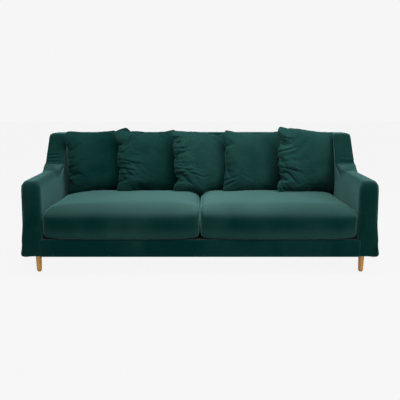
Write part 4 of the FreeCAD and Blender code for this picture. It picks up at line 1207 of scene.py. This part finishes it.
def part_neighbours(behind, before):
    """Where two cushions share space, moves each half way out along the normal of the back."""
    rear_points, front_points = read_points(behind.data), read_points(before.data)
    rear_tree, front_tree = surface(behind), surface(before)
    low_x, high_x = front_points[:, 0].min(), rear_points[:, 0].max()
    for points, tree, sign in ((rear_points, front_tree, 1), (front_points, rear_tree, -1)):
        for k in np.flatnonzero((points[:, 0] > low_x) & (points[:, 0] < high_x)):
            p = points[k]
            start = Vector(p - sign * REACH * AWAY)
            hit = tree.ray_cast(start, Vector(sign * AWAY), 2 * REACH)[0]
            if hit is None:
                continue
            depth = sign * float((p - np.array(hit)) @ AWAY)
            if depth > -TOUCH:
                points[k] = p - sign * AWAY * (depth / 2 + PART)
    write_points(behind.data, rear_points)
    write_points(before.data, front_points)


def keep_clear(case, arm_trees):
    """Keeps a cushion off the seat, the inner back and the arms."""
    points = read_points(case.data)
    face = np.array((0, back_y(0.5), 0.5))
    depth = TOUCH - (points - face) @ AWAY
    points += np.maximum(depth, 0)[:, None] * AWAY
    for k in np.flatnonzero(points[:, 2] < SEAT_TOP_Z):
        for height in heights_under(points[k, 0], points[k, 1], seat_trees):
            points[k, 2] = max(points[k, 2], height + CLEAR)
    for k in np.flatnonzero(np.abs(points[:, 0]) > ARM_INSIDE_X - ARM_NEAR):
        outwards = Vector((math.copysign(1, points[k, 0]), 0, 0))
        for tree in arm_trees:
            hit = tree.ray_cast(Vector((0, points[k, 1], points[k, 2])), outwards)[0]
            if hit is not None:
                points[k, 0] = math.copysign(min(abs(points[k, 0]), abs(hit.x) - CLEAR), points[k, 0])
    write_points(case.data, points)


arm_trees = [surface(arm) for arm in arms.values()]
for case in cases:
    keep_clear(case, arm_trees)
for behind, before in zip(cases, cases[1:]):
    part_neighbours(behind, before)
for case in cases:
    keep_clear(case, arm_trees)
for number, case in enumerate(cases, start=1):
    dress(case, f"back_cushion_{number}", f"back_cushion_{number}_cover", f"back_cushion_{number}_pad", fill=0.6,
          levels=0, material=cushion_velvet)

# %% [markdown]
# ## Welts, stitches and staples
# What follows a path or repeats along one could be copied by a loop, but Geometry Nodes keep its sizes as named inputs
# that can be changed later. A path is a chain of edges. One node tree draws a round cord along it; the other sets a
# small body on it at even steps and turns each along the path. The welts run round the outer edge of each arm, slip
# stitches close the outer back, and staples hold the dust cover.

# %% Start and end of a node tree
def node_tree(name, numbers):
    """A tree with a geometry socket in and out, the named numbers, a seed and a material; and its input sockets."""
    tree = bpy.data.node_groups.new(name, "GeometryNodeTree")
    inputs = {"Geometry": "Geometry", **dict.fromkeys(numbers, "Float"), "Seed": "Int", "Material": "Material"}
    for label, kind in inputs.items():
        tree.interface.new_socket(label, in_out="INPUT", socket_type=f"NodeSocket{kind}")
    tree.interface.new_socket("Geometry", in_out="OUTPUT", socket_type="NodeSocketGeometry")
    return tree, tree.nodes.new("NodeGroupInput").outputs


def even_path(tree, given):
    """The chain of edges as a curve with points one step apart."""
    curve = add_node(tree, "GeometryNodeMeshToCurve", {"Mesh": given["Geometry"]}).outputs["Curve"]
    return add_node(tree, "GeometryNodeResampleCurve", {"Curve": curve, "Length": given["Step"]},
                    mode="LENGTH").outputs["Curve"]


def close_tree(tree, given, geometry):
    """Real mesh, smooth, with the material."""
    for kind in ("RealizeInstances", "SetShadeSmooth", "SetMaterial"):
        step = add_node(tree, f"GeometryNode{kind}", {"Geometry": geometry})
        geometry = step.outputs["Geometry"]
    feed(tree, step, {"Material": given["Material"]})
    add_node(tree, "NodeGroupOutput", {"Geometry": geometry})
    return tree


print("node trees so far:", len(bpy.data.node_groups))

# %% Node trees for trims
CORD_SIDES = 10
UNEVEN_LOW, UNEVEN_HIGH = 0.85, 1.1


def cord_tree():
    """A round cord along the path."""
    tree, given = node_tree("cord_along_path", ["Step", "Radius"])
    ring = add_node(tree, "GeometryNodeCurvePrimitiveCircle", {"Resolution": CORD_SIDES, "Radius": given["Radius"]})
    cord = add_node(tree, "GeometryNodeCurveToMesh", {"Curve": even_path(tree, given), "Fill Caps": True,
                                                      "Profile Curve": ring.outputs["Curve"]})
    return close_tree(tree, given, cord.outputs["Mesh"])


def row_tree(name, body, **body_inputs):
    """Sets a body of unit size on the path, stretched to a length, width and rise, with a little uneven length."""
    tree, given = node_tree(name, ["Step", "Length", "Width", "Rise"])
    shape = add_node(tree, body, body_inputs)
    along = tree.nodes.new("GeometryNodeInputTangent").outputs["Tangent"]
    turn = add_node(tree, "FunctionNodeAlignRotationToVector", {"Vector": along}, axis="X")
    uneven = add_node(tree, "FunctionNodeRandomValue", {2: UNEVEN_LOW, 3: UNEVEN_HIGH, "Seed": given["Seed"]})
    long = add_node(tree, "ShaderNodeMath", {0: given["Length"], 1: uneven.outputs[1]}, operation="MULTIPLY")
    size = add_node(tree, "ShaderNodeCombineXYZ", {"X": long.outputs[0], "Y": given["Width"], "Z": given["Rise"]})
    row = add_node(tree, "GeometryNodeInstanceOnPoints", {
        "Points": even_path(tree, given), "Instance": shape.outputs["Mesh"], "Rotation": turn.outputs["Rotation"],
        "Scale": size.outputs["Vector"]})
    return close_tree(tree, given, row.outputs["Instances"])


CORD = cord_tree()
STITCHES = row_tree("stitches_along_path", "GeometryNodeMeshUVSphere", Segments=8, Rings=6, Radius=0.5)
STAPLES = row_tree("staples_along_path", "GeometryNodeMeshCube")
print("node trees:", CORD.name, STITCHES.name, STAPLES.name)

# %% Welts
WELT_RADIUS = 0.0032
WELT_INSET = 0.013
WELT_STEP = 0.008
WELT_PROUD = 0.2
WELT_FOOT = 0.012


def trim(name, runs, tree, material, slot, seed=3, **numbers):
    """Draws a trim along runs of points and ties it to the frame."""
    verts = [tuple(p) for run in runs for p in run]
    edges, first = [], 0
    for run in runs:
        edges += [(first + k, first + k + 1) for k in range(len(run) - 1)]
        first += len(run)
    made = mesh_object(name, verts, [], edges)
    nodes = made.modifiers.new("trim", "NODES")
    nodes.node_group = tree
    sockets = {item.name: item.identifier for item in tree.interface.items_tree if item.in_out == "INPUT"}
    for label, value in {"Seed": seed, "Material": material, **numbers}.items():
        nodes[sockets[label]] = value
    baked(made)
    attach(made, "frame")
    print(f"{name}: {len(made.data.polygons)} faces")
    return made


def welt_path(arm, sign):
    """Points on the arm's skin along the rounded outer edge, from the front foot to the rear foot."""
    tree = surface(arm)
    centre = arm_outline.mean(axis=0)
    path = []
    for y, z in arm_outline:
        if z < BASE_Z + WELT_FOOT:
            continue
        towards = (centre - (y, z)) / np.linalg.norm(centre - (y, z))
        y, z = np.array((y, z)) + towards * WELT_INSET
        spot, normal, _, _ = tree.find_nearest(Vector((sign * (ARM_OUTSIDE_X - WELT_INSET), y, z)))
        path.append(spot + normal * WELT_RADIUS * WELT_PROUD)
    return path


for side, sign in SIDES.items():
    trim(f"{side}_arm_welt", [welt_path(arms[side], sign)], CORD, velvet, "velvet", Step=WELT_STEP, Radius=WELT_RADIUS)

# %% Slip stitches at the outer back
SEAM_X = HALF_INSIDE - 0.014
SEAM_Z = CAP_Z - 0.012
STITCH_PROUD = 0.0004
back_tree = surface(outer_back)


def on_back(x, z):
    """Point on the outside of the back."""
    spot, normal, _, _ = back_tree.find_nearest(Vector((x, rear_y(z) + 0.01, z)))
    return spot + normal * STITCH_PROUD


heights = np.linspace(BASE_Z + 0.02, SEAM_Z, 30)
seams = [[on_back(-SEAM_X, z) for z in heights], [on_back(x, SEAM_Z) for x in np.linspace(-SEAM_X, SEAM_X, 60)],
         [on_back(SEAM_X, z) for z in heights]]
trim("outer_back_stitches", seams, STITCHES, velvet, "velvet", Step=0.011, Length=0.007, Width=0.0014, Rise=0.0014)

# %% [markdown]
# ## Dust cover
# A thin black cloth closes the underside. It was cut to the size of the base frame and is stapled to it all round, so
# it hangs by a few millimetres in the middle. A simulation would show the same at such a small sag, so a formula draws
# it. A small square is left out where each leg is screwed in.

# %% Dust cover
DUST_LOW, DUST_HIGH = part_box("dust_cover")
DUST_SAG = 0.006
CLOTH_THICK = 0.0006
LEG_CUT = 0.012
leg_places = [((low.x + high.x) / 2, (low.y + high.y) / 2) for low, high in
              (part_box(name) for name in frame["nodes"] if name.endswith("_leg"))]
cloth_size = (DUST_HIGH.x - DUST_LOW.x, DUST_HIGH.y - DUST_LOW.y)


def grid_lines(low, high, count, cuts):
    """Even lines from low to high, with two more round each cut."""
    even = np.linspace(low, high, count)
    return np.unique(np.round([*even, *(c + s * LEG_CUT for c in cuts for s in (-1, 1))], 6))


def at_leg(x, y):
    """Whether a place lies in the square left out for a leg."""
    return any(abs(x - leg_x) < LEG_CUT and abs(y - leg_y) < LEG_CUT for leg_x, leg_y in leg_places)


def hanging_cloth(name, xs, ys):
    """A grid that hangs lowest in the middle and has no face at a leg."""
    middle_x, middle_y = (DUST_LOW.x + DUST_HIGH.x) / 2, (DUST_LOW.y + DUST_HIGH.y) / 2
    verts, faces = [], []
    for y in ys:
        for x in xs:
            slack = (1 - (2 * (x - middle_x) / cloth_size[0]) ** 2) * (1 - (2 * (y - middle_y) / cloth_size[1]) ** 2)
            verts.append((x, y, DUST_HIGH.z - CLOTH_THICK - DUST_SAG * max(slack, 0.0) ** 1.5))
    for j in range(len(ys) - 1):
        for i in range(len(xs) - 1):
            if not at_leg((xs[i] + xs[i + 1]) / 2, (ys[j] + ys[j + 1]) / 2):
                k = j * len(xs) + i
                faces.append((k, k + len(xs), k + len(xs) + 1, k + 1))
    return mesh_object(name, verts, faces)


dust = hanging_cloth("dust_cover_cloth", grid_lines(DUST_LOW.x, DUST_HIGH.x, 45, [x for x, _ in leg_places]),
                     grid_lines(DUST_LOW.y, DUST_HIGH.y, 19, [y for _, y in leg_places]))
thick = dust.modifiers.new("thick", "SOLIDIFY")
thick.thickness = CLOTH_THICK
thick.offset = -1
baked(dust)
dust.data.materials.append(dust_cloth)
dust.data.polygons.foreach_set("use_smooth", [True] * len(dust.data.polygons))
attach(dust, "frame")
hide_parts("dust_cover")
print("dust cover cut to", [round(v, 3) for v in cloth_size])

# %% Staples
STAPLE_INSET = 0.010
STAPLE_Z = DUST_HIGH.z - 0.0016

x_ends = DUST_LOW.x + STAPLE_INSET, DUST_HIGH.x - STAPLE_INSET
y_ends = DUST_LOW.y + STAPLE_INSET, DUST_HIGH.y - STAPLE_INSET
corners = [(x_ends[i], y_ends[j], STAPLE_Z) for i, j in ((0, 0), (1, 0), (1, 1), (0, 1))]
staples = trim("dust_cover_staples", list(zip(corners, corners[1:] + corners[:1])), STAPLES, zinc, "zinc_steel",
               Step=0.06, Length=0.0105, Width=0.0012, Rise=0.0008)

# %% [markdown]
# ## Size
# Cloth may stand a little proud of the CAD solids. The box of the CAD model is printed here.

# %% Size
print("cad", [round(v, 4) for v in (*CAD_LOW, *CAD_HIGH)])
